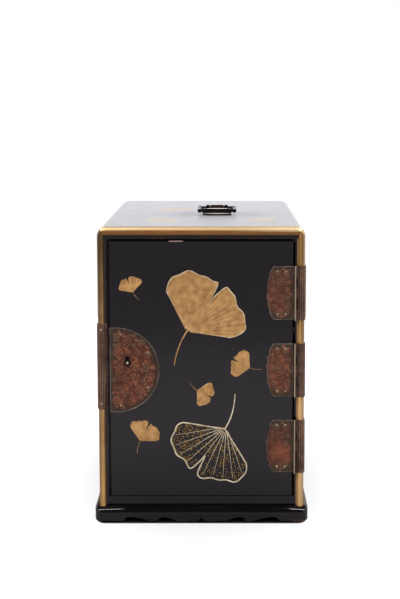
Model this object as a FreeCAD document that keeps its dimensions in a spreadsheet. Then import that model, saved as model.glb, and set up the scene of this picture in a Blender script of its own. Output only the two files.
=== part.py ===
"""Lacquered table cabinet: one hinged door with a lock, two shelves, a moulded base and a bail handle."""
import FreeCAD, Part
import os
import re
import Sketcher

# Driving sizes in millimetres. The front faces -Y and the feet stand on Z = 0.
driving_sizes = {
    # carcass boards
    "carcass_width": 280,
    "carcass_depth": 350,
    "carcass_height": 387,
    "side_board": 13,
    "top_board": 17.4,
    "bottom_board": 13,
    "back_board": 8,
    "corner_round": 13.8,
    "housing": 5,
    # gilt bead round the front
    "bead_width": 9,
    "top_bead": 13.4,
    "bead_depth": 5,
    # base with cusped aprons, and the coves above it
    "base_height": 21,
    "base_overhang": 6,
    "base_rail": 20,
    "base_corner": 11,
    "base_top_round": 2.2,
    "base_front_round": 8,
    "base_foot_round": 4,
    "foot_length": 39.5,
    "apron_lift": 1.2,
    "long_span": 39,
    "long_rise": 8.4,
    "short_span": 28,
    "short_rise": 8.2,
    "peak_set": 9,
    "cusp_gap": 7,
    "notch_half": 5,
    "notch_rise": 6.8,
    "block_side": 26,
    "block_drop": 14,
    "cove_height": 16,
    "cove_out": 3.8,
    "cove_lip": 0.6,
    # shelves and door stops
    "shelf_board": 9,
    "lower_shelf": 118,
    "upper_shelf": 237,
    "stop_side": 6,
    "stop_clear": 0.4,
    # door
    "door_gap": 2.7,
    "door_foot_gap": 1,
    "door_recess": 3,
    "door_board": 15,
    "door_edge": 0.8,
    # hinges
    "hinge_spacing": 106,
    "leaf_height": 73.8,
    "leaf_reach": 39.5,
    "leaf_corner": 9.4,
    "leaf_shoulder": 3,
    "leaf_bulge": 6.2,
    "lobe_rise": 1.2,
    "leaf_sheet": 1,
    "wrap_flange": 12,
    "barrel_radius": 2.3,
    "barrel_wall": 1.1,
    "barrel_gap": 0.3,
    "pin_stand": 3,
    "pin_head": 1,
    "seat_gap": 0.05,
    "run_clear": 0.05,
    "leaf_clear": 0.5,
    # lock plate, strike plate and nails
    "lock_radius": 59,
    "lock_inset": 8.8,
    "plate_sheet": 1.2,
    "strike_height": 117.6,
    "strike_raise": 5,
    "nail_head": 1.5,
    "nail_crown": 0.8,
    "nail_shank": 0.6,
    "nail_length": 7,
    "nail_inset": 7.7,
    "nail_near": 13.5,
    "nail_far": 24.5,
    "nail_ring": 9.3,
    "wrap_nail": 6,
    # lock
    "key_backset": 24,
    "key_raise": 9.7,
    "key_bore": 3.8,
    "key_neck": 1.7,
    "key_mouth": 3.2,
    "key_slot": 8.4,
    "key_clear": 0.4,
    "post_radius": 1.8,
    "case_width": 42,
    "case_above": 16,
    "case_below": 24,
    "case_depth": 9,
    "case_wall": 1.2,
    "case_clear": 0.1,
    "cover_flange": 9,
    "cover_sheet": 1.2,
    "bolt_length": 33,
    "bolt_height": 10,
    "bolt_sheet": 4,
    "bolt_drop": 12,
    "bolt_set": 0.5,
    "bolt_throw": 7,
    "bolt_clear": 0.3,
    "bolt_notch": 6,
    "notch_depth": 3,
    "spring_sheet": 0.6,
    "spring_span": 18,
    "keeper_height": 34,
    "keeper_depth": 12,
    "keeper_sheet": 1.2,
    "screw_head": 2.6,
    "screw_shank": 1.2,
    "screw_length": 7,
    # handle on the top
    "handle_offset": 21,
    "bail_width": 51,
    "bail_reach": 40,
    "bail_height": 7,
    "bail_bar": 2.3,
    "bail_knob": 3.3,
    "bail_elbow": 2.9,
    "bail_rest": 0.3,
    "grip_length": 42,
    "grip_height": 9.2,
    "grip_crown": 0.8,
    "grip_depth": 8,
    "grip_bevel": 1.8,
    "swell_clear": 1,
    "swell_height": 8.4,
    "swell_depth": 5,
    "swell_bevel": 1.2,
    "eye_spacing": 27,
    "eye_radius": 4.4,
    "eye_width": 5,
    "eye_shank": 1.8,
    "eye_leg": 11,
    "eye_leg_sheet": 1.5,
    "rosette_radius": 8,
    "rosette_sheet": 1.8,
    "rosette_bevel": 1,
}

doc = FreeCAD.newDocument("table_cabinet")
sheet = doc.addObject("Spreadsheet::Sheet", "sizes")
for row, (alias, value) in enumerate(driving_sizes.items(), start=1):
    sheet.set(f"A{row}", alias)
    sheet.set(f"B{row}", str(value))
    sheet.setAlias(f"B{row}", alias)
doc.recompute()
size_words = re.compile(r"\b(" + "|".join(driving_sizes) + r")\b")
sub_parts = []


def formula(text):
    """Write a plain size formula as an expression on the sheet."""
    return size_words.sub(r"sizes.\1", text)


def number(text):
    """The present value of a size formula."""
    return float(sheet.evalExpression(formula(text)))


def bind(thing, name, text):
    thing.setExpression(name, formula(text))


def seat(thing, x, y, z):
    """Tie an object's place to the sheet."""
    for axis, text in zip("xyz", (x, y, z)):
        bind(thing, f".Placement.Base.{axis}", text)


def block(name, x, y, z):
    """A board or bar between two faces on each axis."""
    box = doc.addObject("Part::Box", name)
    for side, (low, high) in zip(("Length", "Width", "Height"), (x, y, z)):
        bind(box, side, f"({high}) - ({low})")
    seat(box, x[0], y[0], z[0])
    return box


rod_turns = {
    "X": FreeCAD.Rotation(FreeCAD.Vector(0, 1, 0), 90),
    "Y": FreeCAD.Rotation(FreeCAD.Vector(1, 0, 0), -90),
    "Z": FreeCAD.Rotation(),
}


def rod(name, along, centre, ends, radius):
    """A round bar along one axis, centred on the other two."""
    cylinder = doc.addObject("Part::Cylinder", name)
    cylinder.Placement = FreeCAD.Placement(FreeCAD.Vector(), rod_turns[along])
    bind(cylinder, "Radius", radius)
    bind(cylinder, "Height", f"({ends[1]}) - ({ends[0]})")
    start = list(centre)
    start.insert("XYZ".index(along), ends[0])
    seat(cylinder, *start)
    return cylinder


def cone(name, turn, place, wide, narrow, length):
    """A tapered head that grows from its seat in the direction of the turn."""
    taper = doc.addObject("Part::Cone", name)
    taper.Placement = FreeCAD.Placement(FreeCAD.Vector(), turn)
    bind(taper, "Radius1", wide)
    bind(taper, "Radius2", narrow)
    bind(taper, "Height", length)
    seat(taper, *place)
    return taper


def draw(body, plane, name, corners):
    """A closed sketch through the corners. A corner marked 'through' is the middle of an arc."""
    sketch = body.newObject("Sketcher::SketchObject", name)
    origin_plane = next(part for part in body.Origin.OriginFeatures if part.Role == plane)
    sketch.AttachmentSupport = [(origin_plane, "")]
    sketch.MapMode = "FlatFace"
    ring = corners + corners[:1]
    fixed = []
    links = []
    step = 0
    while step < len(corners):
        start = FreeCAD.Vector(number(ring[step][0]), number(ring[step][1]), 0)
        curved = len(ring[step + 1]) == 3
        end_corner = ring[step + 2] if curved else ring[step + 1]
        end = FreeCAD.Vector(number(end_corner[0]), number(end_corner[1]), 0)
        if curved:
            middle = FreeCAD.Vector(number(ring[step + 1][0]), number(ring[step + 1][1]), 0)
            edge = sketch.addGeometry(Part.ArcOfCircle(start, middle, end), False)
            marker = sketch.addGeometry(Part.Point(middle), True)
            fixed.append((marker, 1, ring[step + 1]))
            links.append(Sketcher.Constraint("PointOnObject", marker, 1, edge))
        else:
            edge = sketch.addGeometry(Part.LineSegment(start, end), False)
        forward = sketch.getPoint(edge, 1).distanceToPoint(start) < 1e-6
        first, last = (1, 2) if forward else (2, 1)
        fixed.append((edge, first, ring[step]))
        if step:
            links.append(Sketcher.Constraint("Coincident", *tail, edge, first))
        else:
            head = (edge, first)
        tail = (edge, last)
        step += 2 if curved else 1
    links.append(Sketcher.Constraint("Coincident", *tail, *head))
    sketch.addConstraint(links)
    for edge, end, corner in fixed:
        for direction, text in zip(("DistanceX", "DistanceY"), corner):
            index = sketch.addConstraint(Sketcher.Constraint(direction, -1, 1, edge, end, number(text)))
            sketch.setExpression(f"Constraints[{index}]", formula(text))
    return sketch


def slab(name, plane, corners, length, place):
    """A piece of one section: an XY sketch grows up, an XZ sketch to the front, a YZ sketch to the right."""
    body = doc.addObject("PartDesign::Body", name)
    pad = body.newObject("PartDesign::Pad", f"{name}_pad")
    pad.Profile = draw(body, plane, f"{name}_section", corners)
    body.Tip = pad
    bind(pad, "Length", length)
    seat(body, *place)
    return body


def turned(name, corners, place):
    """A piece turned about the upright axis, from an XZ half section."""
    body = doc.addObject("PartDesign::Body", name)
    lathe = body.newObject("PartDesign::Revolution", f"{name}_turning")
    sketch = draw(body, "XZ_Plane", f"{name}_section", corners)
    lathe.Profile = sketch
    lathe.ReferenceAxis = (sketch, ["V_Axis"])
    lathe.Angle = 360
    body.Tip = lathe
    seat(body, *place)
    return body


def ease(body, kind, name, size, chosen):
    """Round or bevel the edges of a body that the test picks out."""
    doc.recompute()
    base = body.Tip
    picked = [f"Edge{count}" for count, edge in enumerate(base.Shape.Edges, start=1) if chosen(edge)]
    feature = body.newObject(f"PartDesign::{kind}", name)
    feature.Base = (base, picked)
    bind(feature, "Radius" if kind == "Fillet" else "Size", size)
    body.Tip = feature


def joined(name, *pieces):
    fusion = doc.addObject("Part::MultiFuse", name)
    fusion.Shapes = list(pieces)
    return fusion


def shared(name, first, second):
    overlap = doc.addObject("Part::Common", name)
    overlap.Base = first
    overlap.Tool = second
    return overlap


def carved(name, base, *tools):
    """The base with each tool cut out of it in turn."""
    for count, tool in enumerate(tools, start=1):
        cut = doc.addObject("Part::Cut", name if count == len(tools) else f"{name}_cut_{count}")
        cut.Base = base
        cut.Tool = tool
        base = cut
    return base


def gathered(name, pieces):
    """Like pieces that stay separate solids in one group."""
    group = doc.addObject("Part::Compound", name)
    group.Links = list(pieces)
    return group


def keep(piece, label):
    """Give a finished sub-part its own label."""
    piece.Label = label
    sub_parts.append(piece)
    return piece


# Main planes of the cabinet
half_width = "(carcass_width / 2)"
front = "(-carcass_depth / 2)"
back = "(carcass_depth / 2)"
carcass_top = "(base_height + carcass_height)"
frame_face = f"({front} + bead_depth)"
inside = f"({half_width} - side_board)"
ceiling = f"({carcass_top} - top_board)"
deck = "(base_height + bottom_board)"
panel_face = f"({back} - back_board)"
door_face = f"({front} + door_recess)"
door_rear = f"({door_face} + door_board)"
door_reach = f"({inside} - door_gap)"
door_foot = f"({deck} + door_foot_gap)"
door_head = f"({ceiling} - door_gap)"
door_middle = f"(({door_foot} + {door_head}) / 2)"
stop_face = f"({door_rear} + stop_clear)"
shelf_face = f"({stop_face} + stop_side)"
bead_inner = f"({half_width} - bead_width)"
bead_middle = f"({half_width} - bead_width / 2)"
base_half_width = f"({half_width} + base_overhang)"
base_half_depth = f"({back} + base_overhang)"
diagonal = "sqrt(0.5)"

# Base: four rails mitred at the corners, with rounded edges and an apron of cusped arches between the feet
base_outline = []
for across, along in ((1, -1), (1, 1), (-1, 1), (-1, -1)):
    bend = f"base_corner * (1 - {diagonal})"
    corner_points = [
        (f"{across} * {base_half_width}", f"{along} * ({base_half_depth} - base_corner)"),
        (f"{across} * ({base_half_width} - {bend})", f"{along} * ({base_half_depth} - {bend})", "through"),
        (f"{across} * ({base_half_width} - base_corner)", f"{along} * {base_half_depth}"),
    ]
    base_outline += corner_points if across * along > 0 else corner_points[::-1]
base_ring = slab("base_ring", "XY_Plane", base_outline, "base_height", ("0", "0", "0"))


def lies_at(level):
    """A test for edges that lie flat at one height."""
    height = number(level)
    return lambda edge: all(abs(end.Point.z - height) < 1e-6 for end in edge.Vertexes)


ease(base_ring, "Fillet", "base_upper_edge", "base_top_round", lies_at("base_height"))
ease(base_ring, "Fillet", "base_lower_edge", "base_foot_round", lies_at("0"))
base_well = block(
    "base_well",
    (f"-{base_half_width} + base_rail", f"{base_half_width} - base_rail"),
    (f"-{base_half_depth} + base_rail", f"{base_half_depth} - base_rail"),
    ("0", "base_height"),
)


def arches(half_length):
    """The cut under one apron, from foot to foot: a long and a short arch each side of a middle notch."""
    foot = f"({half_length} - foot_length)"
    long_end = f"({foot} - long_span)"
    short_start = f"({long_end} - cusp_gap)"
    short_end = f"({short_start} - short_span)"
    steep_run, steep_rise = 0.3, 0.75
    slow_run, slow_rise = 0.55, 0.62
    notch_run, notch_swell = 0.45, 0.7
    right = [(foot, "-base_foot_round"), (foot, "apron_lift")]
    for start, end, rise in ((foot, long_end, "long_rise"), (short_start, short_end, "short_rise")):
        climb = f"({rise} - apron_lift)"
        peak = f"({start} - peak_set)"
        right += [
            (f"{start} - peak_set * {steep_run}", f"apron_lift + {climb} * {steep_rise}", "through"),
            (peak, rise),
            (f"{peak} + ({end} - {peak}) * {slow_run}", f"apron_lift + {climb} * {slow_rise}", "through"),
            (end, "apron_lift"),
        ]
        if start == foot:
            right.append((short_start, "apron_lift"))
    right += [
        ("notch_half", "apron_lift"),
        (f"notch_half * {notch_run}", f"apron_lift + (notch_rise - apron_lift) * {notch_swell}", "through"),
        ("0", "notch_rise"),
    ]
    left = [(f"-({corner[0]})", *corner[1:]) for corner in right[-2::-1]]
    return right + left


apron_cut_long = slab(
    "apron_cut_long",
    "XZ_Plane",
    arches(base_half_width),
    f"2 * {base_half_depth}",
    ("0", base_half_depth, "0"),
)
apron_cut_side = slab(
    "apron_cut_side",
    "YZ_Plane",
    arches(base_half_depth),
    f"2 * {base_half_width}",
    (f"-{base_half_width}", "0", "0"),
)
front_arc = "((base_overhang * base_overhang + base_front_round * base_front_round) / (2 * base_overhang))"
round_start = "(base_height - base_front_round)"
base_front_cut = slab(
    "base_front_cut",
    "YZ_Plane",
    [
        (f"-{base_half_depth}", round_start),
        (
            f"-{base_half_depth} + {front_arc} * (1 - {diagonal})",
            f"{round_start} + {front_arc} * {diagonal}",
            "through",
        ),
        (front, "base_height"),
        (front, "base_height + base_foot_round"),
        (f"-{base_half_depth} - base_foot_round", "base_height + base_foot_round"),
        (f"-{base_half_depth} - base_foot_round", round_start),
    ],
    f"2 * {base_half_width}",
    (f"-{base_half_width}", "0", "0"),
)
base_frame = carved("base_frame", base_ring, base_well, apron_cut_long, apron_cut_side, base_front_cut)
mitre_reach = f"({base_half_depth} - {base_half_width})"
for side, sign in (("front", -1), ("back", 1)):
    wedge = slab(
        f"base_{side}_wedge",
        "XY_Plane",
        [
            (f"-{base_half_width}", f"{sign} * {base_half_depth}"),
            (base_half_width, f"{sign} * {base_half_depth}"),
            ("0", f"{sign} * {mitre_reach}"),
        ],
        "base_height",
        ("0", "0", "0"),
    )
    keep(shared(f"base_{side}_rail", base_frame, wedge), f"base_{side}_rail")
for side, sign in (("left", -1), ("right", 1)):
    wedge = slab(
        f"base_{side}_wedge",
        "XY_Plane",
        [
            (f"{sign} * {base_half_width}", f"-{base_half_depth}"),
            (f"{sign} * {base_half_width}", base_half_depth),
            ("0", mitre_reach),
            ("0", f"-{mitre_reach}"),
        ],
        "base_height",
        ("0", "0", "0"),
    )
    keep(shared(f"base_{side}_rail", base_frame, wedge), f"base_{side}_rail")

# Glue blocks in the four inner corners of the base, under the bottom board
block_outer_x = f"({base_half_width} - base_rail)"
block_outer_y = f"({base_half_depth} - base_rail)"
glue_blocks = []
for across in (-1, 1):
    for along in (-1, 1):
        x_ends = (f"{block_outer_x} - block_side", block_outer_x)
        y_ends = (f"{block_outer_y} - block_side", block_outer_y)
        if across < 0:
            x_ends = (f"-{block_outer_x}", f"-{block_outer_x} + block_side")
        if along < 0:
            y_ends = (f"-{block_outer_y}", f"-{block_outer_y} + block_side")
        name = f"glue_block_{len(glue_blocks) + 1}"
        glue_blocks.append(block(name, x_ends, y_ends, ("base_height - block_drop", "base_height")))
keep(gathered("base_glue_blocks", glue_blocks), "base_glue_blocks")

# Hollow mouldings where the sides meet the base
hollow_run, hollow_rise = 0.22, 0.4
for side, sign in (("left", -1), ("right", 1)):
    hollow_x = f"({half_width} + cove_lip + (cove_out - cove_lip) * {hollow_run})"
    cove_outline = [
        (f"{sign} * {half_width}", "0"),
        (f"{sign} * ({half_width} + cove_out)", "0"),
        (f"{sign} * {hollow_x}", f"cove_height * {hollow_rise}", "through"),
        (f"{sign} * ({half_width} + cove_lip)", "cove_height"),
        (f"{sign} * {half_width}", "cove_height"),
    ]
    cove_place = ("0", back, "base_height")
    keep(slab(f"{side}_cove", "XZ_Plane", cove_outline, f"{back} - {frame_face}", cove_place), f"{side}_cove")

# Shelves run in housings in the sides and stop behind the door
shelves = []
for level in ("lower_shelf", "upper_shelf"):
    shelf = block(
        f"{level}_board",
        (f"-{inside} - housing", f"{inside} + housing"),
        (shelf_face, panel_face),
        (f"base_height + {level}", f"base_height + {level} + shelf_board"),
    )
    shelves.append(keep(shelf, level))

# Back panel in a rebate of the sides and the top
back_panel = block(
    "back_panel",
    (f"-{inside} - housing", f"{inside} + housing"),
    (panel_face, back),
    ("base_height", f"{ceiling} + housing"),
)
keep(back_panel, "back_panel")

# Bottom board, whose front edge is the rail under the door
bottom = block("bottom", (f"-{inside}", inside), (frame_face, panel_face), ("base_height", deck))
keep(bottom, "bottom_board")

# Top board with both long edges rounded, bored for the handle's two eye pins
round_bend = f"corner_round * (1 - {diagonal})"
top_outline = [
    (f"-{half_width}", ceiling),
    (half_width, ceiling),
    (half_width, f"{carcass_top} - corner_round"),
    (f"{half_width} - {round_bend}", f"{carcass_top} - {round_bend}", "through"),
    (f"{half_width} - corner_round", carcass_top),
    (f"-{half_width} + corner_round", carcass_top),
    (f"-{half_width} + {round_bend}", f"{carcass_top} - {round_bend}", "through"),
    (f"-{half_width}", f"{carcass_top} - corner_round"),
]
top_blank = slab("top_blank", "XZ_Plane", top_outline, f"{back} - {frame_face}", ("0", back, "0"))
eye_places = {
    "left": "(handle_offset - eye_spacing / 2)",
    "right": "(handle_offset + eye_spacing / 2)",
}
eye_bores = [
    rod(f"eye_bore_{side}", "Z", (place, "0"), (ceiling, carcass_top), "eye_shank + run_clear")
    for side, place in eye_places.items()
]
top_board = carved("top", top_blank, back_panel, *eye_bores)
keep(top_board, "top_board")

# Lock places, measured from the door's free edge
lock_x = f"(-{door_reach} + lock_inset)"
key_x = f"(-{door_reach} + key_backset)"
key_z = f"({door_middle} + key_raise)"
case_front = f"({door_rear} - case_depth)"
case_back = f"({door_rear} - cover_sheet)"
bolt_front = f"({case_front} + case_wall + bolt_clear)"
bolt_mid_z = f"({key_z} - bolt_drop)"
bolt_tip = f"(-{door_reach} + bolt_set)"
bolt_tail = f"({bolt_tip} + bolt_length)"
keeper_mid_y = f"({bolt_front} + bolt_sheet / 2)"

# Sides, housed for the shelves and the back panel. The left one takes the lock bolt.
side_height = ("base_height", ceiling)
right_blank = block("right_blank", (inside, half_width), (frame_face, back), side_height)
keep(carved("right_side", right_blank, *shelves, back_panel), "right_side")
left_blank = block("left_blank", (f"-{half_width}", f"-{inside}"), (frame_face, back), side_height)
bolt_window = block(
    "bolt_window",
    (f"-{door_reach} - bolt_throw - 2 * bolt_clear", f"-{inside}"),
    (f"{bolt_front} - bolt_clear", f"{bolt_front} + bolt_sheet + bolt_clear"),
    (f"{bolt_mid_z} - bolt_height / 2 - bolt_clear", f"{bolt_mid_z} + bolt_height / 2 + bolt_clear"),
)
keeper_blank = block(
    "keeper_blank",
    (f"-{inside} - keeper_sheet", f"-{inside}"),
    (f"{keeper_mid_y} - keeper_depth / 2", f"{keeper_mid_y} + keeper_depth / 2"),
    (f"{bolt_mid_z} - keeper_height / 2", f"{bolt_mid_z} + keeper_height / 2"),
)
keep(carved("left_side", left_blank, *shelves, back_panel, keeper_blank, bolt_window), "left_side")
keep(carved("keeper", keeper_blank, bolt_window), "bolt_keeper")

# Gilt bead: three lengths of round moulding, mitred at the upper corners, which are rounded off
side_beads = {}
for side, sign in (("left", -1), ("right", 1)):
    section = [
        (f"{sign} * {half_width}", frame_face),
        (f"{sign} * {bead_middle}", front, "through"),
        (f"{sign} * {bead_inner}", frame_face),
    ]
    bead_foot = ("0", "0", "base_height")
    side_beads[side] = slab(f"{side}_bead_length", "XY_Plane", section, "carcass_height", bead_foot)
top_section = [
    (frame_face, carcass_top),
    (front, f"{carcass_top} - top_bead / 2", "through"),
    (frame_face, f"{carcass_top} - top_bead"),
]
top_length = slab("top_bead_length", "YZ_Plane", top_section, "carcass_width", (f"-{half_width}", "0", "0"))
mitre_outline = [
    (f"-{half_width}", carcass_top),
    (half_width, carcass_top),
    (bead_inner, f"{carcass_top} - top_bead"),
    (f"-{bead_inner}", f"{carcass_top} - top_bead"),
]
mitre = slab("bead_mitre", "XZ_Plane", mitre_outline, "bead_depth", ("0", frame_face, "0"))
face_outline = [(f"-{half_width}", "base_height"), (half_width, "base_height")] + top_outline[2:]
face = slab("face_outline", "XZ_Plane", face_outline, "bead_depth", ("0", frame_face, "0"))
keep(shared("top_bead_shape", shared("top_bead_mitred", top_length, mitre), face), "top_bead")
for side, length in side_beads.items():
    keep(shared(f"{side}_bead_shape", carved(f"{side}_bead_mitred", length, mitre), face), f"{side}_bead")

# Door stops behind the door, on the lock side and under the top
stop_depth = (stop_face, f"{stop_face} + stop_side")
left_stop = block("left_stop", (f"-{inside}", f"-{inside} + stop_side"), stop_depth, (deck, ceiling))
keep(left_stop, "left_door_stop")
top_stop_ends = (f"-{inside} + stop_side", inside)
top_stop = block("top_stop", top_stop_ends, stop_depth, (f"{ceiling} - stop_side", ceiling))
keep(top_stop, "top_door_stop")

# Sheet fittings stand on the door's face or wrap round the bead
leaf_face = f"({door_face} - leaf_sheet)"
plate_face = f"({door_face} - plate_sheet)"
wrap_apex = f"({front} - leaf_sheet)"
flange_y = f"({frame_face} + wrap_flange - wrap_nail)"
pin_x = f"({bead_inner} - leaf_sheet - barrel_radius)"
pin_y = f"({door_face} - pin_stand)"
hinge_heights = {
    "upper": f"({door_middle} + hinge_spacing)",
    "middle": door_middle,
    "lower": f"({door_middle} - hinge_spacing)",
}
knuckles = 5
lobes = 6
to_front = FreeCAD.Rotation(FreeCAD.Vector(1, 0, 0), 90)
to_right = FreeCAD.Rotation(FreeCAD.Vector(0, 1, 0), 90)
to_left = FreeCAD.Rotation(FreeCAD.Vector(0, 1, 0), -90)


def nail(name, direction, place):
    """A domed nail seated on a plate: to the front, or out to one side."""
    x, y, z = place
    turn = {"front": to_front, "right": to_right, "left": to_left}[direction]
    head = cone(f"{name}_head", turn, place, "nail_head", "nail_head / 2", "nail_crown")
    if direction == "front":
        shank = rod(f"{name}_shank", "Y", (x, z), (y, f"{y} + nail_length"), "nail_shank")
    elif direction == "right":
        shank = rod(f"{name}_shank", "X", (y, z), (f"{x} - nail_length", x), "nail_shank")
    else:
        shank = rod(f"{name}_shank", "X", (y, z), (x, f"{x} + nail_length"), "nail_shank")
    return joined(name, head, shank)


def wrap(name, sign, low, height):
    """Sheet metal bent round the bead, with a flange along the side of the cabinet."""
    outer = [
        (f"{sign} * ({half_width} + leaf_sheet)", f"{frame_face} + wrap_flange"),
        (f"{sign} * ({half_width} + leaf_sheet)", frame_face),
        (f"{sign} * {bead_middle}", wrap_apex, "through"),
        (f"{sign} * ({bead_inner} - leaf_sheet)", frame_face),
        (f"{sign} * {half_width}", frame_face),
        (f"{sign} * {half_width}", f"{frame_face} + wrap_flange"),
    ]
    return slab(f"{name}_wrap", "XY_Plane", outer, height, ("0", "0", low))


def bead_space(name, sign, low, height):
    """The bead's own room under a wrapped sheet."""
    section = [
        (f"{sign} * ({half_width} + seat_gap)", frame_face),
        (f"{sign} * {bead_middle}", f"{front} - seat_gap", "through"),
        (f"{sign} * ({bead_inner} - seat_gap)", frame_face),
    ]
    return slab(f"{name}_bead_space", "XY_Plane", section, height, ("0", "0", low))


def leaf_outline(middle):
    """The door leaf: straight at the barrel, with shouldered corners and a lobed free edge."""
    right = f"({pin_x} - barrel_radius - leaf_clear)"
    corner = f"({pin_x} - leaf_reach + leaf_corner)"
    low = f"({middle} - leaf_height / 2)"
    high = f"({middle} + leaf_height / 2)"
    outline = [(corner, low), (right, low), (right, high), (corner, high)]
    shoulder_x = f"({pin_x} - leaf_reach + lobe_rise + leaf_bulge)"
    lobe_pitch = f"((leaf_height - 2 * leaf_shoulder) / {lobes})"
    for count in range(lobes + 1):
        offset = 2 * count / lobes - 1
        bulge = f"leaf_bulge * {round(1 - offset * offset, 4)}"
        level = f"({high} - leaf_shoulder - {count} * {lobe_pitch})"
        outline.append((f"{shoulder_x} - {bulge}", level))
        if count < lobes:
            half = offset + 1 / lobes
            swell = f"leaf_bulge * {round(1 - half * half, 4)} + lobe_rise"
            outline.append((f"{shoulder_x} - ({swell})", f"{level} - {lobe_pitch} / 2", "through"))
    return outline


frame_nails = []
door_nails = []
for place, middle in hinge_heights.items():
    low = f"({middle} - leaf_height / 2)"
    pitch = f"(leaf_height / {knuckles})"
    frame_pieces = [wrap(f"{place}_frame_leaf", 1, low, "leaf_height")]
    door_leaf_sheet = slab(
        f"{place}_door_leaf_sheet", "XZ_Plane", leaf_outline(middle), "leaf_sheet", ("0", door_face, "0")
    )
    door_pieces = [door_leaf_sheet]
    for count in range(knuckles):
        knuckle_low = f"{low} + {count} * {pitch} + barrel_gap / 2"
        ends = (knuckle_low, f"{knuckle_low} + {pitch} - barrel_gap")
        knuckle = rod(f"{place}_knuckle_{count}", "Z", (pin_x, pin_y), ends, "barrel_radius")
        if count % 2:
            web_x = (f"{pin_x} - 2 * barrel_radius", pin_x)
            web = block(f"{place}_web_{count}", web_x, (pin_y, door_face), ends)
            door_pieces += [knuckle, web]
        else:
            web_x = (pin_x, f"{bead_inner} + leaf_sheet / 2")
            web = block(f"{place}_web_{count}", web_x, (pin_y, frame_face), ends)
            frame_pieces += [knuckle, web]
    pin_bore = rod(
        f"{place}_pin_bore",
        "Z",
        (pin_x, pin_y),
        (low, f"{low} + leaf_height"),
        "barrel_radius - barrel_wall + run_clear",
    )
    leaf_nails = []
    flange_nails = []
    for level in (f"({low} + nail_inset)", f"({low} + leaf_height - nail_inset)"):
        for set_back in ("nail_near", "nail_far"):
            name = f"{place}_door_nail_{len(leaf_nails) + 1}"
            leaf_nails.append(nail(name, "front", (f"({pin_x} - {set_back})", leaf_face, level)))
        name = f"{place}_frame_nail_{len(flange_nails) + 1}"
        flange_nails.append(nail(name, "right", (f"({half_width} + leaf_sheet)", flange_y, level)))
    frame_solid = joined(f"{place}_frame_leaf_solid", *frame_pieces)
    frame_room = bead_space(f"{place}_frame_leaf", 1, low, "leaf_height")
    frame_leaf = carved(f"{place}_frame_leaf", frame_solid, frame_room, pin_bore, *flange_nails)
    keep(frame_leaf, f"{place}_hinge_frame_leaf")
    door_solid = joined(f"{place}_door_leaf_solid", *door_pieces)
    keep(carved(f"{place}_door_leaf", door_solid, pin_bore, *leaf_nails), f"{place}_hinge_door_leaf")
    pin_top = f"({low} + leaf_height)"
    pin = joined(
        f"{place}_pin",
        rod(f"{place}_pin_shaft", "Z", (pin_x, pin_y), (low, pin_top), "barrel_radius - barrel_wall"),
        rod(f"{place}_pin_foot", "Z", (pin_x, pin_y), (f"{low} - pin_head", low), "barrel_radius"),
        rod(f"{place}_pin_cap", "Z", (pin_x, pin_y), (pin_top, f"{pin_top} + pin_head"), "barrel_radius"),
    )
    keep(pin, f"{place}_hinge_pin")
    door_nails += leaf_nails
    frame_nails += flange_nails
keep(gathered("door_leaf_nails", door_nails), "door_leaf_nails")
keep(gathered("frame_leaf_nails", frame_nails), "frame_leaf_nails")

# Strike plate on the left bead, facing the lock plate, with a strip across the frame's inner edge
strike_low = f"({door_middle} + strike_raise - strike_height / 2)"
strike_high = f"({strike_low} + strike_height)"
strike_strip = block(
    "strike_strip",
    (f"-{bead_inner} - leaf_sheet / 2", f"-{inside}"),
    (f"{frame_face} - leaf_sheet", frame_face),
    (strike_low, strike_high),
)
strike_solid = joined("strike_solid", wrap("strike", -1, strike_low, "strike_height"), strike_strip)
strike_room = bead_space("strike", -1, strike_low, "strike_height")
strike_nails = []
for level in (f"({strike_low} + nail_inset)", f"({strike_high} - nail_inset)"):
    spots = {
        "front": (f"(-{bead_middle})", wrap_apex, level),
        "left": (f"(-{half_width} - leaf_sheet)", flange_y, level),
    }
    for direction, spot in spots.items():
        strike_nails.append(nail(f"strike_nail_{len(strike_nails) + 1}", direction, spot))
keep(carved("strike", strike_solid, strike_room, *strike_nails), "strike_plate")
keep(gathered("strike_nails", strike_nails), "strike_nails")


def keyhole(name, room, depth, place_y):
    """An upright keyhole: a round bore for the post with a flared slot above it."""
    bore = rod(
        f"{name}_bore", "Y", (key_x, key_z), (f"{place_y} - ({depth})", place_y), f"key_bore + {room}"
    )
    slot = slab(
        f"{name}_slot",
        "XZ_Plane",
        [
            (f"-key_neck - {room}", "0"),
            (f"key_neck + {room}", "0"),
            (f"key_neck + {room}", "key_slot / 2"),
            (f"key_mouth + {room}", f"key_slot + {room}"),
            (f"-key_mouth - {room}", f"key_slot + {room}"),
            (f"-key_neck - {room}", "key_slot / 2"),
        ],
        depth,
        (key_x, place_y, key_z),
    )
    return joined(name, bore, slot)


# Lock plate: a round sheet cut off by the door's free edge
chord = "sqrt(lock_radius ^ 2 - lock_inset ^ 2)"
plate_outline = [
    (f"-{door_reach}", f"{door_middle} - {chord}"),
    (f"{lock_x} + lock_radius", door_middle, "through"),
    (f"-{door_reach}", f"{door_middle} + {chord}"),
]
plate_blank = slab("lock_plate_blank", "XZ_Plane", plate_outline, "plate_sheet", ("0", door_face, "0"))
plate_keyhole = keyhole("plate_keyhole", "0", "plate_sheet", door_face)
plate_nails = []
nail_angles = (-83, -29, 29, 83)
for degrees in nail_angles:
    spot = (
        f"({lock_x} + (lock_radius - nail_ring) * cos({degrees} deg))",
        plate_face,
        f"({door_middle} + (lock_radius - nail_ring) * sin({degrees} deg))",
    )
    plate_nails.append(nail(f"plate_nail_{len(plate_nails) + 1}", "front", spot))
keep(carved("lock_plate_cut", plate_blank, plate_keyhole, *plate_nails), "lock_plate")
keep(gathered("lock_plate_nails", plate_nails), "lock_plate_nails")

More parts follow.
